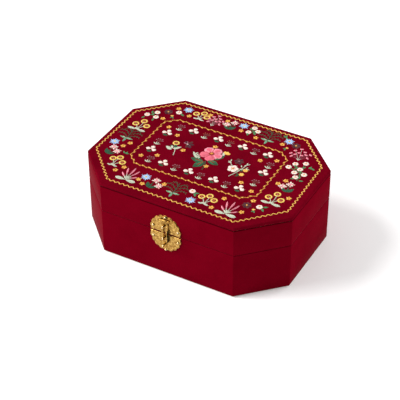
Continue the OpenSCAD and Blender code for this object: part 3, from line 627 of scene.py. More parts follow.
def hyacinth(s, x, y, heads, base, side=1):
    """Two loose heads of blush petals over broad dark leaves."""
    s.at(x, y)
    for a, l, w in ((118, 9.5, 4.6), (26, 9, 3.8), (78, 7.5, 2.2)):
        s.leaf(*base, a if side > 0 else 180 - a, l, w, "deep")
    for n, (hx, hy) in enumerate(heads):
        s.curve(base, (hx, hy), 0.6, 0.7, "deep")
        for k in range(8):
            s.petal(hx, hy, 45 * k + 8 * hx, 4.9 if (k + n) % 2 else 3.7, 1.9,
                    "cream" if k % 3 else "blush", belly=0.68)
        s.veins(hx, hy, turns(5, 30), 2.4, 0.8, "pink")


def fern(s, x, y):
    """Dark arching fronds above a forked leaf."""
    s.at(x, y)
    s.stem([(0, 0), (0.3, 6), (-0.4, 12), (-1.2, 19)], 0.9, "deep")
    for side in (-1, 1):
        outwards = 90 - side * 90
        for reach, up, root, colour in ((12, 5.5, 3, "moss"), (12.5, 6.5, 8, "deep"), (8, 6, 13, "moss")):
            points = [(side * reach * u, root + up * sin(u * 2.2)) for u in (0, 0.25, 0.5, 0.75, 1)]
            s.stem(points, 0.6, colour, rise=0.3)
            for p in points[1:]:
                angles = outwards + side * 75, outwards - side * 55
                s.fan(*p, angles, 1.9, 0.8, "moss", rise=0.3, fine=True)
        s.leaf(0, 1.2, 90 - side * 84, 8.0, 2.5, "sage")
        s.veins(0, 1.4, [90 - side * 76], 5.0, 1.0, "pale", lift=0.3)
    s.leaf(0, 1.5, -90, 7.5, 2.8, "sage")


def stamen_plant(s, x, y):
    """Five pink stamens fanned above a pair of pale leaves."""
    s.at(x, y)
    for a, l in ((-45, 13.5), (-22, 20), (0, 21.5), (20, 19.5), (48, 12.5)):
        c, d = heading(a)
        s.stem([(0, 1), (c * l * 0.5, d * l * 0.5)], 0.8, "pale", rise=0.35)
        s.petal(c * l * 0.36, d * l * 0.36, 90 - a, l * 0.64, 1.9, "pink", rise=0.6, belly=0.58)
        s.veins(c * l * 0.5, d * l * 0.5, [90 - a], l * 0.4, 0.5, "coral", rise=0.2, lift=0.55)
    s.fan(0, -0.6, (0, 180), 12, 5.0, "pale", rise=0.6, belly=0.62, full=0.6, across=True)
    s.fan(0, 0, (52, 78, 102, 128), 6.5, 1.8, "pale", rise=0.55, fine=True)


def bud_spray(s, x, y, turn, spread):
    """A fan of small pink buds on branching stems."""
    s.at(x, y, turn)
    for a, l in ((-58, 10), (-46, 14.5), (-30, 10.5), (-24, 17), (-9, 12.5), (-2, 19.5), (10, 8.5),
                 (15, 15.5), (29, 12), (42, 16), (56, 10)):
        c, d = heading(a)
        tip = c * spread * l, d * l
        s.curve((0, 0), tip, 0.5 if a > 0 else -0.5, 0.32, "pale" if l > 16 else "mauve", rise=0.2)
        s.fan(*tip, (48 - a, 90 - a, 132 - a), 2.7, 1.8, "pink", "coral", fine=True)
    s.fan(0, -0.5, (60, 90, 120), 4.5, 1.1, "pale", rise=0.4, fine=True)


def yellow_bud(s, x, y, turn):
    s.at(x, y, turn)
    s.fan(0, 0, (60, 90, 120), 3.0, 1.7, "gold", "yellow", fine=True)
    s.leaf(0, 0, -60, 4.2, 1.9)
    s.leaf(0, 0, -120, 3.4, 1.6)


def dark_flower(s, x, y):
    s.at(x, y)
    s.fan(0, 0, [51.4 * k for k in range(7)], 5.2, 3.4, "brown", "maroon", belly=0.65)
    for k in range(6):
        s.disc(2.1 * cos(k), 2.1 * sin(k), 0.32, "mauve", rise=0.3, lift=0.4, sides=6)
    s.disc(0, 0, 1.3, "gold", rise=0.75, sides=10)


def three_petal(s, x, y):
    """The field's cream flower: three round petals, and a small dark leaf below."""
    s.at(x, y + 1.2)
    s.fan(-0.2, -3.6, (-140, -95, -50), 3.6, 2.6, "deep", rise=0.4, fine=True)
    for a, l in ((193, 6.0), (88, 5.6), (-16, 6.0)):
        s.petal(0, -0.3, a, l, 4.7, "cream", rise=0.55, belly=0.64, full=0.6)
    s.veins(0, -0.3, (128, 32), 2.4, 0.6, "blush")


def tuft(s, x, y, bud="mauve"):
    """The field's small sprig: fine stems with buds over a pale fan."""
    s.at(x, y - 0.9)
    for a, l in ((-52, 4.8), (-27, 5.9), (-4, 5.2), (20, 6.2), (48, 5.0)):
        c, d = heading(a)
        s.stem([(0, -2), (c * l * 0.5, d * l * 0.5), (c * l, d * l)], 0.4, "umber", rise=0.2)
        s.disc(c * l, d * l, 0.85, bud, rise=0.35, sides=7)
        s.disc(c * l * 0.62 + 0.8, d * l * 0.62, 0.55, "umber", rise=0.3, sides=6)
    s.fan(0, -5.2, (35, 72, 108, 145), 4.9, 1.35, "pale", rise=0.45, fine=True)


def scatter(name, motif, places):
    """One piece of a motif that is repeated at several places."""
    s = Stitches()
    for place in places:
        motif(s, *place)
    s.finish(name)


scatter("blue_daisies", daisy, ((-62.5, 70), (5.5, 72.5), (61.5, 70), (18.5, -70), (-40.5, -58.5),
                                (-102.5, -20.5)))
scatter("ring_flowers", ring_trio, (
    (-44.5, 59.5, ((-7, 8.5), (0.5, 13), (6.5, 7.5)), 6.5), (-94.5, 10.5, ((-6, 9), (0, 17), (7, 10)), 11),
    (-82.5, -58, ((-5.5, 11), (0.5, 15.5), (7, 9)), 6), (32.5, -69, ((-7, 10), (0, 14.5), (7, 10)), 6),
    (91.5, -35.5, ((-6.5, 9), (-0.5, 17), (7, 9.5)), 11)))
scatter("stamen_plants", stamen_plant, ((-57.5, -72), (59.5, -72)))
scatter("bud_sprays", bud_spray, ((-26.5, 55.5, 0, 0.68), (84, 44, 12, 0.9)))
scatter("hyacinths", hyacinth, (
    (-8.5, 66, ((-4, 0), (2.5, 6.5)), (2.5, -7.5), -1), (93, -2, ((-3.5, -2), (2.5, 4.5)), (4.5, -9), -1),
    (-25.5, -62, ((-2.5, 3.5), (4, -3.5)), (-5, -10.5)), (-96, -33, ((-2, 3.5), (5, -1.5)), (-3, -10))))
scatter("ferns", fern, ((39.5, 59), (-3.5, -70), (-95.5, -10.5)))
scatter("star_flowers", star, ((x, y, 17 * i) for i, (x, y) in enumerate((
    (-73.5, 67), (-56.5, 60), (-36.5, 73), (-14.5, 72), (6.5, 63), (26.5, 59), (57, 62), (88.5, 6), (83.5, -2),
    (104, -19), (74.5, -40), (72.5, -62), (47, -51), (42.5, -70), (-18, -60), (-45.5, -65.5), (-38.5, -70),
    (-69.5, -55), (-75, -63.5), (-90.5, -23), (-86.5, -15), (-79.5, 42), (-65.5, 31), (65, 32.5), (-49.5, 22),
    (49.5, 24.5), (-65, -28.5), (-50, -20), (65.5, -27), (49.5, -19), (-3.5, 23), (4.5, -12), (-30.5, 1)))))
scatter("dark_flowers", dark_flower, ((-80.5, 56), (71.2, 66.3), (72, -49.5)))


def rose(s, x, y, leaves):
    """One rosette over its leaves."""
    s.at(x, y)
    s.leaves(leaves, 5.5, 2.6)
    rosette(s, 0, 0)


def rose_branch(s, x, y, middle, heads, leaves, stalk=None):
    """Rosettes on green stems that meet in the middle."""
    s.at(x, y)
    for head in heads:
        s.curve(middle, head, 0.8, 0.75, "green")
    if stalk:
        s.curve(middle, stalk, 0.8, 0.9, "green")
    s.leaves(leaves, 5.0, 2.4)
    for head in heads:
        rosette(s, *head, 3.3)


roses = Stitches()
rose(roses, -69.5, 60.5, [(3, -1.5, -20)])
rose(roses, 84.5, -46, [(3.2, 1, 30), (3.2, -1, -50)])
rose(roses, 13, -56, [(3, -2, 20), (3.4, -2.4, -50)])
rose_branch(roses, 17.5, 68, (1.5, -1.0), [(0, 6.2), (6, 2), (-2.5, -3.5)],
            [(1, 0, -10), (2.5, -2, -35), (-2.5, -5, -70), (0, 2, 160)])
rose_branch(roses, -96, 43, (1.5, -1.0), [(5.5, 6), (-2.5, -2.5), (8.5, -2.5)],
            [(1, 2, 110), (-3, -7, -110), (7.5, -6, -80), (2.5, -1, 80)])
rose_branch(roses, 92, 30, (3.5, -3.0),
            [(2, 12.5), (-7.5, 7), (-11.5, -1), (1, 0.5), (-2, -7), (8.5, -6), (2.5, -14)],
            [(8, 6, 70), (8, 7, 10), (2, 3, 60), (-5, -1, 60), (-6, 2, 100), (5.5, -10, -70), (3, -16, -150),
             (8, -18, 20), (10, 8, -20)], (6, -19))
for x, y, a in ((-81.5, -34, 70), (-81.5, -33.5, 10), (-82, -34, 130)):
    roses.at(x, y).leaf(0, 0, a, 4.5, 2.0)
roses.finish("cream_roses")

buds = Stitches()
for place in ((-72.5, 50, 20), (63.5, 57, -30), (81.5, -54, 15)):
    yellow_bud(buds, *place)
buds.at(55, 75).leaves([(0, 0, a) for a in (100, 150, -30)], 4.8, 2.2)
buds.finish("yellow_buds")

field = Stitches()
for i, x in enumerate((-53.5, -37.5, -22.5, -7, 7, 22.5, 37.5, 52.5)):
    for y in (36.2, -29.6):
        if i % 2:
            three_petal(field, x, y + 0.5)
        else:
            tuft(field, x, y, "rust" if y > 0 and i in (2, 4) else "mauve")
for motif, x, y in ((three_petal, -61.5, 20.5), (tuft, -61.5, 2.5), (three_petal, -61.5, -13.5),
                    (tuft, 62, 21.5), (three_petal, 62, 6.5), (tuft, 62, -12.5)):
    motif(field, x, y)
field.finish("field_sprigs")

# The bouquet in the middle: a large bloom over dark leaves, with a yellow bud and a pale spray.
bouquet = Stitches().at(-0.5, 9.5)
for x, y, a, l, w in ((-1, -16.5, 176, 15.5, 8.5), (-0.5, -15.5, -114, 15, 9.5), (1, -11, -12, 14.5, 8),
                      (8, -8, 66, 14, 4.8)):
    bouquet.leaf(x, y, a, l, w, "deep")
    bouquet.veins(x, y, [a], l * 0.7, w * 0.16, "rust", rise=0.25, lift=0.4)
    bouquet.veins(x, y, (a - 14, a + 14), l * 0.78, 0.9, "green", rise=0.25, lift=0.4)
bouquet.curve((0, -14), (4, -29.5), 1.2, 1.0, "deep")
for k, a in enumerate(turns(5, 66)):
    c, d = cos(radians(a)), sin(radians(a))
    bouquet.petal(c, d, a, 12.0, 10.8, "coral" if k in (2, 3) else "pink", rise=0.8, belly=0.62, full=0.55)
    bouquet.petal(c * 2.5, d * 2.5, a, 8.6, 5.6, "coral", rise=0.35, lift=0.7, belly=0.66, full=0.6)
    bouquet.veins(0, 0, [a + 36], 9.0, 1.1, "coral", rise=0.25, lift=0.75)
bouquet.veins(0, 0, turns(10), 4.0, 0.8, "rust", lift=0.75)
bouquet.disc(0, 0, 2.9, "rust", rise=0.5, lift=0.8)
bouquet.disc(0, 0, 1.5, "ochre", rise=0.3, lift=1.2, sides=8)
bouquet.leaf(12.5, 3, 118, 6.5, 3.0, "pale")
bouquet.fan(12.8, 6.5, (40, 80, 120), 5.6, 3.6, "gold", "yellow")
for i in range(4):
    x, y = -9 - 2.2 * i, -14 + 1.8 * i
    bouquet.leaf(x, y, 150 - 6 * i, 5.2, 2.0, "pale")
    bouquet.leaf(x, y, 84 - 4 * i, 5.0, 2.0, "pale")
bouquet.curve((-8, -15), (-18, -7), 1.0, 0.9, "pale")

# The sprig on its left: a ringed flower, and a dark one with narrow petals.
bouquet.at(-43.5, 9).curve((0, -3), (8, -21), 1.2, 0.9, "pale")
for leaf in ((1.5, -13, 158, 9, 4.8, "pale"), (2, -11, 48, 10, 4.2, "pale"), (1.5, -10.5, 128, 6, 3, "pale"),
             (0.5, -3, -52, 8, 4, "deep"), (-0.5, -5, -140, 4.5, 2.4, "deep")):
    bouquet.leaf(*leaf)
ring_head(bouquet, 0, 0)
bouquet.at(-31.5, 12.5)
for petal in ((20, 7, 3.6, "maroon"), (70, 7.5, 3.8, "brown"), (-35, 7.5, 3.8, "maroon"),
              (-80, 6, 3.2, "brown"), (140, 6.5, 3, "maroon"), (165, 5.5, 2.0, "mauve"),
              (120, 6, 1.6, "mauve"), (-20, 5, 1.4, "mauve")):
    bouquet.petal(0, 0, *petal, belly=0.65)
bouquet.disc(0, 0, 0.9, "cream", rise=0.6, lift=0.2, sides=8)

# The sprig on its right: a cream bloom, two yellow ones and a dark one on a pale branch.
bouquet.at(31, -2)
bouquet.curve((2, -14), (10, 13), -1.2, 1.0, "pale")
bouquet.curve((5, -3), (13, 6), 0.8, 0.8, "pale")
bouquet.leaves(((7, 6, 120), (8, 9, 60), (10, 12, 100), (10, 12, 50), (12, 5, 80), (12, 5, 20), (6, 2, 30),
                (-7, 8, 150), (-8, 10, 100), (-6, 9, 200)), 4.2, 1.5, "pale")
bouquet.curve((-1, 3), (-8, 10), 0.8, 0.7, "pale")
for a in turns(5, 90):
    bouquet.petal(0, 0, a, 6.2, 5.4, "cream", rise=0.55, belly=0.66)
    bouquet.veins(0, 0, [a], 3.4, 1.6, "blush", lift=0.4)
bouquet.disc(0, 0, 1.3, "ochre", rise=0.5, lift=0.4, sides=10)
for x, y in ((13, 3.2), (12.5, -5)):
    for a in turns(6, 20):
        bouquet.petal(x, y, a, 2.9, 2.5, "yellow" if a == 80 else "gold", fine=True)
    bouquet.disc(x - 0.4, y + 0.4, 1.0, "yellow", rise=0.7, sides=8)
bouquet.leaves(((11, 0.5, 165), (10.5, -7.5, 150), (10.5, -7.5, -130)), 4.4, 2.2, "deep")
bouquet.at(31, 12).fan(0, 0, turns(6, 10), 5.6, 3.6, "brown", "maroon", belly=0.66)
bouquet.disc(0, 0, 1.2, "mauve", rise=0.6, lift=0.2, sides=9)
bouquet.finish("centre_bouquet")


# ================= clasp =================

PLATE_W, PLATE_REACH, PLATE_T = 18.0, 21.5, 1.0  # half-width, height of each half above the seam, thickness
PLATE_LOW, PLATE_FIRST = 2.6, 0.95  # height of the scallops' centre above a half's edge, and of that edge
LOBES, LOBE_DEPTH = 9, 0.07
PLATE_Y = FRONT_Y - PLATE_T  # the plates' front


def clasp_edge(a):
    """A point on the scalloped edge of half the clasp, for an angle from 0 to 180 degrees."""
    a = radians(a)
    s = 1 - LOBE_DEPTH * (1 - abs(sin(a * LOBES)))
    return PLATE_W * s * cos(a), PLATE_LOW + (PLATE_REACH - PLATE_LOW) * s * sin(a)


def band(d, middle, width):
    """A raised band at a distance from the plate's centre, both as shares of its reach."""
    return exp(-((d - middle) / width) ** 2)


def emboss(x, z):
    """Height of the stamped pattern on the plate: a beaded rim, a ring of petals and a central boss."""
    a = atan2(z - PLATE_LOW, x)
    edge = clasp_edge(min(179.9, max(0.1, degrees(a))))
    d = hypot(x, z - PLATE_LOW) / max(1e-6, hypot(edge[0], edge[1] - PLATE_LOW))
    if d > 0.999:
        return 0.0
    rim = band(d, 0.9, 0.055) * (0.2 + 0.06 * cos(2 * LOBES * a))
    petals = band(d, 0.64, 0.13) * 0.3 * abs(sin(LOBES / 2 * a + 0.5))
    hammer = 0.1 * noise.noise(Vector((x * 0.5, z * 0.5, 2)))
    return (1.4 * (rim + petals + band(d, 0.38, 0.05) * 0.2) + 2 * hammer + 0.1) * min(1.0, (1 - d) / 0.06)


def clasp_plate(up, name, body, node, columns=96, rings=22):
    """Half of the clasp, stamped from sheet, with its dark cut edge resting on the cloth."""
    rows = []
    for j in range(rings + 1):
        s = j / rings
        row = []
        for i in range(columns + 1):
            ex, ez = clasp_edge(180 * i / columns)
            foot = PLATE_W * 0.965 * cos(pi * i / columns)
            x, z = foot + (ex - foot) * s, ez * s
            height = PLATE_T + emboss(x, z) if s < 1 else 0.0
            if z < 0.5:
                height = min(height, PLATE_T * (0.3 + 1.4 * z))
            row.append((x, FRONT_Y - height, SEAM_Z + up * (PLATE_FIRST + z)))
        rows.append(row[::up])
    b = Build()
    b.grid(rows)
    b.slots[-columns:] = [1] * columns
    b.piece(name, [BRASS_PLATE, BRASS_EDGE], body, "brass", node, 55)


clasp_plate(-1, "clasp_base_plate", "case", "clasp_lower_plate")
clasp_plate(1, "clasp_lid_plate", "lid", "clasp_upper_plate")

AXIS_Z, HASP_Y, KNUCKLE_R = SEAM_Z + 17.5, PLATE_Y - 1.6, 1.3
LUG_X, LUG_W, STRAP_KNUCKLE_W = 4.3, 2.2, 6.0


def knuckle(b, x, width):
    """A rolled barrel on the hasp's axis, from x towards +X."""
    lathe(b, [(0.0, 0), (1.05, 0), (KNUCKLE_R, 0.25), (KNUCKLE_R, width - 0.25), (1.05, width), (0.0, width)],
          posed((x, HASP_Y, AXIS_Z), pi / 2, "Y"), 20)


# The block that joins each knuckle to the plate is near-black, which is painted shade.
lugs = Build()
for x in (-LUG_X, LUG_X):
    knuckle(lugs, x - LUG_W / 2, LUG_W)
    low, high = (x - 1.05, HASP_Y, AXIS_Z - 1.15), (x + 1.05, PLATE_Y + 0.2, AXIS_Z + 1.15)
    soft_box(lugs, low, high, 0.25, slot=1)
lugs.piece("clasp_lugs", [BRASS, SHADE_METAL], "lid", "brass")

# The strap: pressed sheet with a raised middle, forked below the lid's eye.
STRAP_HALF, STRAP_T, SLOT_HALF, SLOT_TOP = 3.75, 1.3, 1.4, SEAM_Z + 12 + 1.9 + 0.6
FOOT_Z, FOOT_R = SEAM_Z - 9.5, 1.175
SHOULDER_Z, SHOULDER_R, NECK_HALF = AXIS_Z - 1.8, 1.5, 2.9


def strap_half_width(z):
    """Half-width of the strap at a height, with rounded shoulders and foot."""
    if z > SHOULDER_Z:
        return NECK_HALF
    if z < FOOT_Z + FOOT_R:
        r, into = FOOT_R, FOOT_Z + FOOT_R - z
    else:
        r, into = SHOULDER_R, z - SHOULDER_Z + SHOULDER_R
    return STRAP_HALF if into < 0 else STRAP_HALF - r + sqrt(max(0, r * r - into ** 2))


def strap_section(x0, x1, z):
    """A closed section of the strap between two widths, with softened corners and a slight crown."""
    front, back, r = HASP_Y - STRAP_T / 2, HASP_Y + STRAP_T / 2, 0.3
    xs = [x0, x0 + r, (x0 + x1) / 2, x1 - r, x1]
    return ([(x, front + c, z) for x, c in zip(xs, (0.3, 0.0, -0.16, 0.0, 0.3))]
            + [(x, back - c, z) for x, c in zip(xs, (0.25, 0, 0, 0, 0.25))][::-1])


strap = Build()
above_foot = FOOT_Z + FOOT_R
levels = [above_foot - FOOT_R * cos(radians(a)) for a in (0, 18, 36, 54, 72, 90)]
levels += [above_foot + (SLOT_TOP - above_foot) * i / 14 for i in range(1, 15)]
for side in (-1, 1):
    strap.grid([strap_section(*sorted((side * SLOT_HALF, side * max(strap_half_width(z), SLOT_HALF + 0.7))), z)
                for z in levels], closed=True, first=True)
levels = [SLOT_TOP - 0.02 + (AXIS_Z - 1.85 - SLOT_TOP) * i / 6 for i in range(7)]
levels += [AXIS_Z - 1.5, AXIS_Z - 0.4]
strap.grid([strap_section(-strap_half_width(z), strap_half_width(z), z) for z in levels],
           closed=True, first=True, last=True)
knuckle(strap, -STRAP_KNUCKLE_W / 2, STRAP_KNUCKLE_W)
# A near-black block along the right edge of the strap's lower part: painted shadow of the strap.
soft_box(strap, (3.2, HASP_Y - 1.1, FOOT_Z + 0.5), (4.0, PLATE_Y - 0.55, SEAM_Z + 6.0), 0.25, slot=1)
strap.piece("hasp_strap_plate", [BRASS_PLATE, SHADE_METAL], "hasp_strap", "brass", "hasp", 50)

# Eyes: a wire loop of highlight brass round a near-black web, which is painted shade. Nails: a dome of
# highlight brass in a near-black ring set off to its right, which is a painted shadow.
EYE_Y, EYE_WIRE_R, LOOP_R = span("clasp_upper_eye")[0].y + 1.9, 0.62, 1.35
NAILS = ((-14.4, 6.6), (14.4, 6.6), (0, 20.6))  # across, and away from the seam


def clasp_fittings(name, body, up, node, eyes, nails_node):
    b = Build()
    for z in eyes:
        bow = [(0, EYE_Y - LOOP_R * sin(pi * k / 10), z + LOOP_R * cos(pi * k / 10)) for k in range(11)]
        path = [(0, PLATE_Y, z + LOOP_R)] + bow + [(0, PLATE_Y, z - LOOP_R)]
        tube(b, path, [EYE_WIRE_R] * len(path), sides=10)
        # The dark web behind the loop is painted shade.
        soft_box(b, (-0.3, EYE_Y - 0.9, z - 1.2), (0.3, PLATE_Y + 0.2, z + 1.2), 0.12, slot=1)
    b.piece(name, [HIGHLIGHT_BRASS, SHADE_METAL], body, "brass", node, 50)
    b = Build()
    for x, dz in NAILS:
        at = Vector((x, PLATE_Y, SEAM_Z + up * dz))
        lathe(b, [(0.0, 1.2), (0.4, 1.13), (0.75, 0.92), (1.0, 0.58), (1.1, 0.2)], posed(at, pi / 2), 18)
        # The dark ring is shifted to the nail's right: painted shadow.
        lathe(b, [(0.6, 0.42), (1.4, 0.36), (1.6, 0.0)], posed(at + Vector((0.5, 0, 0)), pi / 2), 18, slot=1)
    b.piece(name + "_nails", [HIGHLIGHT_BRASS, SHADE_METAL], body, "brass", nails_node, 50)


clasp_fittings("upper_eye_loop", "lid", 1, "clasp_upper_eye", [SEAM_Z + 12], "clasp_nails_lid")
clasp_fittings("lower_eye_loops", "case", -1, "clasp_lower_eyes", [SEAM_Z - 2.6, SEAM_Z - 12],
               "clasp_nails_base")

# A collar where the winding arbor leaves the back.
key_z = sum(p.z for p in span("winding_key")) / 2
collar = Build()
lathe(collar, [(1.62, -0.4), (1.62, 0.25), (2.2, 0.35), (2.7, 0.75), (3.6, 0.9), (4.4, 0.7), (4.9, 0.3),
               (5.0, -0.1)], posed((0, HALF_D, key_z), -pi / 2), 40)
collar.piece("key_collar", [BRASS], "case", "brass")


# ================= velvet inside =================

def velvet(b, name, node=None, body="case", sharp=70):
    return b.piece(name, [VELVET], body, "velvet", node, sharp)


def lining_lip(z, up):
    """The velvet's way from the wall over the lining's edge, which stands back from z."""
    return [(t, z + up * d, r) for t, d, r in (
        (WALL_IN + 0.02, 1.1, 1), (WALL_IN + 0.3, 0.6, 1), (WALL_IN + 1, 0.5, 1.2),
        (LINING_IN - 0.35, 0.7, 1.4), (LINING_IN, 1.4, 1.6))]


velvet(loft(octagon(0), [(WALL_IN, FLOOR_Z + 0.1, 1)] + lining_lip(BASE_TOP - 1.5, -1) + [
    (LINING_IN + 0.05, BASE_TOP / 2, 1.8), (LINING_IN, FLOOR_Z + 0.1, 1.6)]), "base_velvet", "base_lining")
velvet(loft(octagon(0), [
    (LINING_IN, PANEL_Z - 1.6, 1.6), (LINING_IN + 0.05, (PANEL_Z + LID_BOTTOM) / 2, 1.8)]
    + lining_lip(LID_BOTTOM, 1)[::-1] + [(WALL_IN, PANEL_Z - 0.1, 1)]), "lid_velvet", "lid_lining", "lid")

ceiling_z = span("lid_ceiling")[0].z
ceiling = loft(octagon(LINING_IN + 0.1), [(t, ceiling_z + d, r) for t, d, r in (
    (0, 1.2, 2), (0.3, 0.35, 2), (1.4, -0.35, 2.5), (6, -0.75, 5), (14, -0.75, 7), (22, -0.35, 8),
    (27, 0.2, 8), (31, 0.6, 8))], cap=True)
ceiling.faces = [f[::-1] for f in ceiling.faces]
velvet(ceiling, "ceiling_pad", "lid_ceiling", "lid")

BAY, BOARD_T = 44.0, 3.0  # the side boards' outer faces, and the boards' thickness
CROSS_Y = 0.0  # front of the boards between the side wells
HOUSING_Y, BLOCK_Y = 18.0, -33.0  # rear and front of the middle well
SEAT_Z, STAGE_Z = 40.0, 44.0
WELL_X, WELL_Y = HALF_W - LINING_IN - 0.1, HALF_D - LINING_IN - 0.1
WELL_CUT = CUT - LINING_IN * (2 - sqrt(2))


def well_pad(name, outline, node=None):
    """A thin quilted pad that crowns away from the walls of its well."""
    b = loft(outline, [(t, FLOOR_Z + h, r) for t, h, r in (
        (1.2, 0.05, 1), (0.35, 0.4, 1.2), (0.2, 0.9, 1.2), (0.6, 1.35, 1.5), (2.0, 1.7, 2), (5, 1.95, 3),
        (10, 2.1, 4), (16, 2.15, 5))], cap=True)
    velvet(b, name, node)


def side_well(side, end):
    """The outline of a well in a side column, anticlockwise, with the case's cut corner at its end."""
    inner, cut_x, cut_y = BAY + 0.1, WELL_X - WELL_CUT, WELL_Y - WELL_CUT
    if end > 0:
        y = CROSS_Y + BOARD_T + 0.1
        outline = [(inner, y), (WELL_X, y), (WELL_X, cut_y), (cut_x, WELL_Y), (inner, WELL_Y)]
    else:
        y = CROSS_Y - 0.1
        outline = [(inner, -WELL_Y), (cut_x, -WELL_Y), (WELL_X, -cut_y), (WELL_X, y), (inner, y)]
    return outline if side > 0 else [(-x, y) for x, y in outline[::-1]]


for side, hand in ((1, "right"), (-1, "left")):
    for end, place in ((1, "rear"), (-1, "front")):
        well_pad("pad_%s_%s" % (place, hand), side_well(side, end))
middle_x, low_y, high_y = BAY - BOARD_T - 0.1, BLOCK_Y + 0.1, HOUSING_Y - 0.1
well_pad("pad_middle", [(-middle_x, low_y), (middle_x, low_y), (middle_x, high_y), (-middle_x, high_y)],
         "floor_lining")

well_z = span("floor_lining")[1].z
boards = Build()
for side in (-1, 1):
    a, c = sorted((side * (BAY - BOARD_T), side * BAY))
    soft_box(boards, (a, -WELL_Y, well_z - 1), (c, WELL_Y, SEAT_Z), 0.9)
    soft_box(boards, (a, HOUSING_Y, SEAT_Z - 2), (c, WELL_Y, STAGE_Z), 0.6)
velvet(boards, "velvet_side_boards", "side_partitions")
boards = Build()
for x0, x1, y in ((BOARD_T - BAY, BAY - BOARD_T, BLOCK_Y - BOARD_T), (-WELL_X, -BAY, CROSS_Y),
                  (BAY, WELL_X, CROSS_Y)):
    soft_box(boards, (x0, y, well_z - 1), (x1, y + BOARD_T, SEAT_Z), 0.9)
velvet(boards, "velvet_cross_boards", "cross_partitions")
boards = Build()
soft_box(boards, (BOARD_T - BAY, HOUSING_Y, well_z), (BAY - BOARD_T, HOUSING_Y + BOARD_T, STAGE_Z), 0.4)
velvet(boards, "velvet_housing_board", "housing_front_board")

block = Build()
low, high = span("ring_cushion")
soft_box(block, low + Vector((0.1, 0.1, 0)), high - Vector((0.1, 0.1, 0)), 1.8, steps=4)
velvet(block, "ring_block", "ring_cushion")

ROLLS, ROLL_PITCH, ROLL_SIDES, ROLL_STEPS = 5, 8.7, 24, 56
low, high = span("ring_rolls")
roll_r, half = (high.z - low.z) / 2, high.x
for i in range(ROLLS):
    y, z = low.y + roll_r + ROLL_PITCH * i, low.z + roll_r
    rows = []
    for j in range(ROLL_STEPS + 1):
        x = -half + 2 * half * j / ROLL_STEPS
        end = min(1.0, (half - abs(x)) / 3.2)
        r = roll_r * (0.35 + 0.65 * sqrt(max(0.0, 1 - (1 - end) ** 2)))
        row = []
        for k, (c, s) in enumerate(circle(ROLL_SIDES)):
            seam = 0.35 * exp(-((tau * k / ROLL_SIDES - 4.3) / 0.12) ** 2)
            soft = 0.16 * noise.noise(Vector((x * 0.09, 4 * c + i * 7, 4 * s)))
            rr = r * 0.985 - seam + soft * end
            row.append((x, y + rr * c, z + rr * s * (0.97 if s < 0 else 1.0)))
        rows.append(row)
    roll = Build()
    roll.grid(rows, closed=True, first=True, last=True)
    velvet(roll, "ring_roll_%d" % (i + 1), "ring_rolls" if i == ROLLS // 2 else None)

# The stage's velvet is a frame round each hole, with patches between and a turned-down edge.
HOLE_FRAME, HOLE_R = 12.0, 2.5
ROD_X, ROD_Y, ROD_FRAME, ROD_HOLE_R = 27.0, 77.5, 2.2, 1.6
PATCH_STEPS, HOLE_STEPS = 8, 32
low, high = span("stage_velvet")
x0, x1, y0, y1, z = low.x + 0.3, high.x - 0.3, low.y + 0.3, high.y - 0.1, high.z
stage = Build()
for hx, hy, half, r in ((0, AXIS_Y, HOLE_FRAME, HOLE_R), (ROD_X, ROD_Y, ROD_FRAME, ROD_HOLE_R)):
    frame_row, hole_row = [], []
    for c, s in circle(HOLE_STEPS):
        m = max(abs(c), abs(s))
        frame_row.append((hx + c / m * half, hy + s / m * half, z))
        hole_row.append((hx + c * r, hy + s * r, z))
    stage.grid([frame_row, hole_row, [(x, y, z - 0.9) for x, y, z in hole_row]], closed=True)
rod_x0, rod_x1, rod_y0, rod_y1 = ROD_X - ROD_FRAME, ROD_X + ROD_FRAME, ROD_Y - ROD_FRAME, ROD_Y + ROD_FRAME
for a, c, d, e in ((x0, -HOLE_FRAME, y0, y1), (HOLE_FRAME, rod_x0, y0, y1), (rod_x1, x1, y0, y1),
                   (-HOLE_FRAME, HOLE_FRAME, y0, AXIS_Y - HOLE_FRAME),
                   (-HOLE_FRAME, HOLE_FRAME, AXIS_Y + HOLE_FRAME, y1),
                   (rod_x0, rod_x1, y0, rod_y0), (rod_x0, rod_x1, rod_y1, y1)):
    stage.grid([[(a + (c - a) * i / PATCH_STEPS, d + (e - d) * j / PATCH_STEPS, z)
                 for i in range(PATCH_STEPS + 1)] for j in range(PATCH_STEPS + 1)])
for (ax, ay), (bx, by) in (((x0, y0), (x1, y0)), ((x1, y0), (x1, y1)), ((x0, y1), (x0, y0))):
    out = Vector((by - ay, ax - bx)).normalized() * 0.3
    stage.grid([[(ax + out.x * k, ay + out.y * k, h), (bx + out.x * k, by + out.y * k, h)]
                for k, h in ((0, z), (0.8, z - 0.12), (1, z - 0.4), (1, STAGE_Z))])
velvet(stage, "stage_velvet_top", "stage_velvet", sharp=50)

trim = Build()
for x in range(-43, 44, 2):
    lathe(trim, [(0.95, 0.0), (0.85, 0.25), (0.5, 0.5), (0.0, 0.6)],
          posed((x, low.y - 0.1, z - 1.6), pi / 2), 10)
trim.piece("stage_gimp", [THREAD_MATERIALS[THREAD_NAMES.index("gold")]], "case", "velvet")


# ================= dancer =================

DISC_LOW, DISC_HIGH = span("turntable")
SPRING_Z = DISC_HIGH.z
SPRING_LEN, FOLD = 13.0, radians(75)  # she lies back this far under the shut lid
BEND_R = SPRING_LEN / FOLD


def on_spring(a):
    """A point on the bent spring's middle line, after it has turned through a."""
    return Vector((0, AXIS_Y - BEND_R * (1 - cos(a)), SPRING_Z + BEND_R * sin(a)))


TOE = on_spring(FOLD)
HIP, TUTU_R = 16.56, 13.0


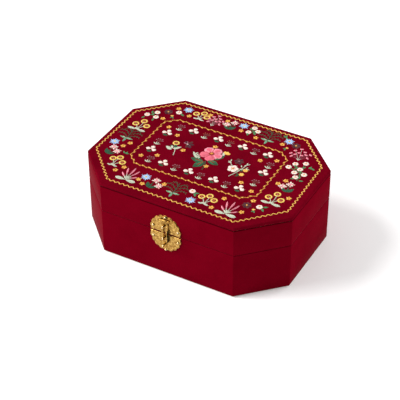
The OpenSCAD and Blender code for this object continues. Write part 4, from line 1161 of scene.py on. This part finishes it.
def dancer_piece(b, name, materials, slot="doll_plastic", node=None, sharp=60):
    """Lay a form that was made upright, with its toes at the origin, on the bent spring's end."""
    fold = posed(TOE, FOLD)
    b.verts = [tuple(fold @ Vector(v)) for v in b.verts]
    return b.piece(name, materials, "dancer_figure", slot, node, sharp)


LIMB_STEPS = 4


def limb(b, points, radii, slot=0, sides=10, squash=1.0):
    """A limb through a few points, rounded by a spline."""
    pts, rs = [], []
    p = [Vector(q) for q in (points[0], *points, points[-1])]
    r = [radii[0], *radii]
    for i in range(1, len(p) - 2):
        p0, p1, p2, p3 = p[i - 1:i + 3]
        for k in range(LIMB_STEPS):
            u = k / LIMB_STEPS
            pts.append(0.5 * (2 * p1 + (p2 - p0) * u + (2 * p0 - 5 * p1 + 4 * p2 - p3) * u * u
                              + (3 * p1 - p0 - 3 * p2 + p3) * u ** 3))
            rs.append(r[i] + (r[i + 1] - r[i]) * u)
    tube(b, pts + [p[-2]], rs + [radii[-1]], sides, slot, squash)


def ball(b, centre, radii, slot=0, sides=16, rings=10):
    """An ellipsoid."""
    rows = []
    for j in range(rings + 1):
        a = pi * j / rings
        rows.append([(centre[0] + radii[0] * sin(a) * c, centre[1] + radii[1] * sin(a) * s,
                      centre[2] + radii[2] * cos(a)) for c, s in circle(sides)][::-1])
    b.grid(rows, slot, closed=True)


# She stands on the toes of both feet, facing -Y when upright, with her arms raised in a ring.
# The materials in order: skin, bodice, shoes, lips, and dark paint for the brows and eyes.
figure = Build()
ball(figure, (0, 0, 0.7), (3.1, 3.1, 0.75), 2)
for s in (-1, 1):
    limb(figure, [(s * 0.55, -0.1 * s, 1.2), (s * 0.6, -0.1 * s, 2.6), (s * 0.75, 0.15, 5.5),
                  (s * 0.8, 0.0, 8.6), (s * 0.95, 0, 12.2), (s * 1.15, 0, HIP + 0.4)],
         [0.42, 0.62, 0.98, 0.82, 1.15, 1.45])
    limb(figure, [(s * 0.55, -0.1 * s, 1.0), (s * 0.6, -0.15, 2.2), (s * 0.62, -0.1, 3.1)],
         [0.5, 0.72, 0.74], 2)
    limb(figure, [(s * 2.0, 0, 24.4), (s * 4.6, -0.5, 26.2), (s * 6.0, -0.8, 29.2), (s * 5.2, -0.9, 32.4),
                  (s * 2.8, -0.9, 34.6), (s * 1.1, -0.9, 35.2)],
         [0.85, 0.72, 0.62, 0.52, 0.42, 0.3], squash=0.85)
TORSO = ((-0.6, 2.2, 1.9), (0.8, 2.2, 1.9), (2.2, 1.75, 1.45), (4.2, 2.1, 1.75), (5.9, 2.5, 2.1),
         (7.0, 2.55, 1.9), (7.7, 2.3, 1.5), (8.3, 1.5, 1.15), (8.8, 0.85, 0.85), (10.6, 0.72, 0.75),
         (11.6, 0.8, 0.85))  # height above the hip, half-width and half-depth
rows = [[(w * c, d * s, HIP + h) for c, s in circle(20)] for h, w, d in TORSO]
figure.grid(rows[:7], 1, closed=True)
figure.grid(rows[6:], 0, closed=True)
for s in (-1, 1):
    ball(figure, (s * 0.95, -1.45, HIP + 5.6), (0.95, 0.85, 0.95), 1, 12, 8)
    limb(figure, [(s * 1.2, -1.6, HIP + 6.6), (s * 1.5, -0.9, HIP + 8.0), (s * 1.3, 0.8, HIP + 8.0)],
         [0.2, 0.2, 0.2], 1, 6)
HEAD = Vector((0, -0.15, HIP + 13.2))
HEAD_R = (2.05, 2.2, 2.55)


def from_head(x, y, z):
    return HEAD + Vector((x, y, z))


ball(figure, HEAD, HEAD_R, 0, 20, 14)
ball(figure, from_head(0, -2.1, -0.35), (0.26, 0.42, 0.42), 0, 8, 6)
for s in (-1, 1):
    ball(figure, from_head(s * 0.78, -1.98, 0.2), (0.34, 0.14, 0.17), 4, 10, 6)
    limb(figure, [from_head(s * 0.4, -2.12, 0.72), from_head(s * 0.8, -2.05, 0.86),
                  from_head(s * 1.2, -1.82, 0.72)], [0.05, 0.08, 0.04], 4, 6)
    ball(figure, from_head(s * 2.0, 0.0, -0.2), (0.25, 0.4, 0.55), 0, 8, 6)
ball(figure, from_head(0, -1.94, -1.12), (0.48, 0.2, 0.14), 3, 12, 6)
dancer_piece(figure, "dancer_doll", [SKIN, BODICE, SHOE, LIPS, DARK], node="dancer")

# Combed hair that leaves the face free, with a bun in a ribbon.
hair = Build()
rows = []
for j in range(13):
    a = pi * 0.62 * j / 12
    row = []
    for k, (c, s) in enumerate(circle(28)):
        reach = a * (1 - 0.36 * max(0.0, -s) ** 2)
        r = 1.07 + 0.025 * cos(14 * tau * k / 28) * sin(a)
        row.append(from_head(HEAD_R[0] * r * sin(reach) * c, HEAD_R[1] * r * sin(reach) * s,
                             HEAD_R[2] * r * cos(reach)))
    rows.append(row[::-1])
hair.grid(rows, closed=True)
ball(hair, from_head(0, 1.5, 1.9), (1.25, 1.25, 1.0))
ribbon = [from_head(1.2 * c, 1.5 + 0.25 * s, 1.5 + 0.8 * s) for c, s in circle(16) + circle(1)]
tube(hair, ribbon, [0.22] * len(ribbon), slot=1)
dancer_piece(hair, "dancer_hair", [HAIR, SHOE])

# Three tiers of gathered net: inner and outer radius, height at both, depth and number of gathers.
TIERS = ((2.0, TUTU_R - 0.2, 0.35, 0.2, 0.55, 22), (2.0, TUTU_R - 1.6, 0.8, 0.9, 0.5, 19),
         (1.95, TUTU_R - 3.2, 1.2, 1.5, 0.4, 17))
TIER_STEPS, TIER_SIDES, FULLNESS = 10, 180, 1.15
for i, (r0, r1, h0, h1, ruffle, waves) in enumerate(TIERS):
    rows = []
    for j in range(TIER_STEPS + 1):
        u = j / TIER_STEPS
        row = []
        for k, (c, s) in enumerate(circle(TIER_SIDES)):
            t = tau * k / TIER_SIDES
            wavy = ruffle * u ** 0.8 * sin(waves * t + i * 1.3 + 0.6 * sin(3 * t))
            r = r0 + (r1 - r0) * u + 0.2 * u * sin(2 * waves * t)
            row.append((r * c, r * s, HIP + h0 + (h1 - h0) * u + wavy))
        rows.append(row)
    tier = Build()
    tier.grid(rows, closed=True)
    obj = dancer_piece(tier, "tutu_layer_%d" % (i + 1), [TULLE], "tulle", "tutu" if i == 1 else None, 80)

sash = Build()
limb(sash, [(2.25 * c, 1.95 * s, HIP + 2.0) for c, s in circle(12) + circle(1)], [0.32] * 13, 0, 8)
for s in (-1, 1):
    limb(sash, [(0, 1.95, HIP + 2.0), (s * 1.1, 2.4, HIP + 2.6), (s * 1.3, 2.4, HIP + 1.7),
                (0, 2.0, HIP + 1.9)], [0.18, 0.42, 0.36, 0.15], 0, 8)
dancer_piece(sash, "dancer_sash", [SHOE])

# The coil is made bent, as the shut lid holds it, and runs between the turntable and the toes.
COIL_R, COIL_WIRE_R, COIL_TURNS, COIL_STEPS, COIL_ENDS = 2.5, 0.45, 7, 168, 0.045
path = []
for i in range(COIL_STEPS + 1):
    share = COIL_ENDS + (1 - 2 * COIL_ENDS) * i / COIL_STEPS
    a, t = FOLD * share, tau * COIL_TURNS * share
    round_it = cos(t) * Vector((1, 0, 0)) + sin(t) * Vector((0, -cos(a), -sin(a)))
    path.append(on_spring(a) + COIL_R * round_it)
coil = Build()
tube(coil, path, [COIL_WIRE_R] * len(path))
spring = coil.piece("dancer_coil", [STEEL], None, "steel", "dancer_spring")
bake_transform(spring)

BEADS, BEAD_RING = 28, 6.45
low, high = DISC_LOW.z, DISC_HIGH.z
disc = Build()
lathe(disc, [(1.3, low), (6.2, low), (6.9, low + 0.2), (7.0, low + 0.5), (6.8, low + 0.75), (6.3, low + 0.8),
             (6.1, high - 0.15), (5.8, high), (3.4, high), (3.3, high + 0.25), (3.0, high + 0.35),
             (0.0, high + 0.35)], posed((0, AXIS_Y, 0)), 56)
for c, s in circle(BEADS):
    lathe(disc, [(0.42, 0), (0.36, 0.22), (0.2, 0.36), (0.0, 0.4)],
          posed((BEAD_RING * c, AXIS_Y + BEAD_RING * s, low + 0.8)), 8, slot=1)
disc.piece("turntable_disc", [TURNTABLE, BRASS], "drum", "doll_plastic", "turntable")


# ================= floor, light and camera =================

FLOOR_SIZE, FLOOR_DROP = 9, 0.0002
floor_shader = Shader("pale_floor", Specular_IOR_Level=0.1, Emission_Color=(1, 1, 1, 1),
                      Emission_Strength=0.2)
floor_shader.finish(
    floor_shader.mix(floor_shader.noise(300, 2), srgb(246, 245, 245), srgb(243, 242, 242)),
    floor_shader.ramp(floor_shader.noise(80, 2), 0, 1, 0.85, 0.95))
bpy.ops.mesh.primitive_plane_add(size=FLOOR_SIZE, location=(0, 0, -FLOOR_DROP))
floor = bpy.context.object
floor.name = "floor"
floor.data.materials.append(floor_shader.m)

world = bpy.data.worlds.new("studio")
SCENE.world = world
world.use_nodes = True
for socket, value in (("Color", (1, 1, 1, 1)), ("Strength", 0.46)):
    world.node_tree.nodes["Background"].inputs[socket].default_value = value


def aim(name, data, direction, distance=0.0, target=(0, 0, 0)):
    """Put a lamp or camera at a distance in a direction from a target, looking back at it."""
    obj = bpy.data.objects.new(name, data)
    away = Vector(direction).normalized()
    obj.location = Vector(target) + away * distance
    obj.rotation_mode = "QUATERNION"
    obj.rotation_quaternion = away.to_track_quat("Z", "Y")
    SCENE.collection.objects.link(obj)
    return obj


sun = bpy.data.lights.new("key", "SUN")
sun.energy, sun.angle = 3.9, radians(34)
aim("key", sun, (-0.92, -0.44, 0.8))
panel = bpy.data.lights.new("fill", "AREA")
panel.shape, panel.size, panel.size_y, panel.energy = "RECTANGLE", 1.2, 0.8, 20
aim("fill", panel, (0.8, 1.0, 0.35), 1.6)

AZIMUTH, ELEVATION, DISTANCE = radians(28.81), radians(37.19), 1.4
camera = bpy.data.cameras.new("camera")
camera.lens, camera.sensor_width = 118.5, 36
camera.shift_x, camera.shift_y = -0.0203, -0.0147
SCENE.camera = aim("camera", camera, (sin(AZIMUTH) * cos(ELEVATION), -cos(AZIMUTH) * cos(ELEVATION),
                                      sin(ELEVATION)), DISTANCE, (0, 0, TOP_Z * MM / 2))
SCENE.view_settings.view_transform = "Standard"
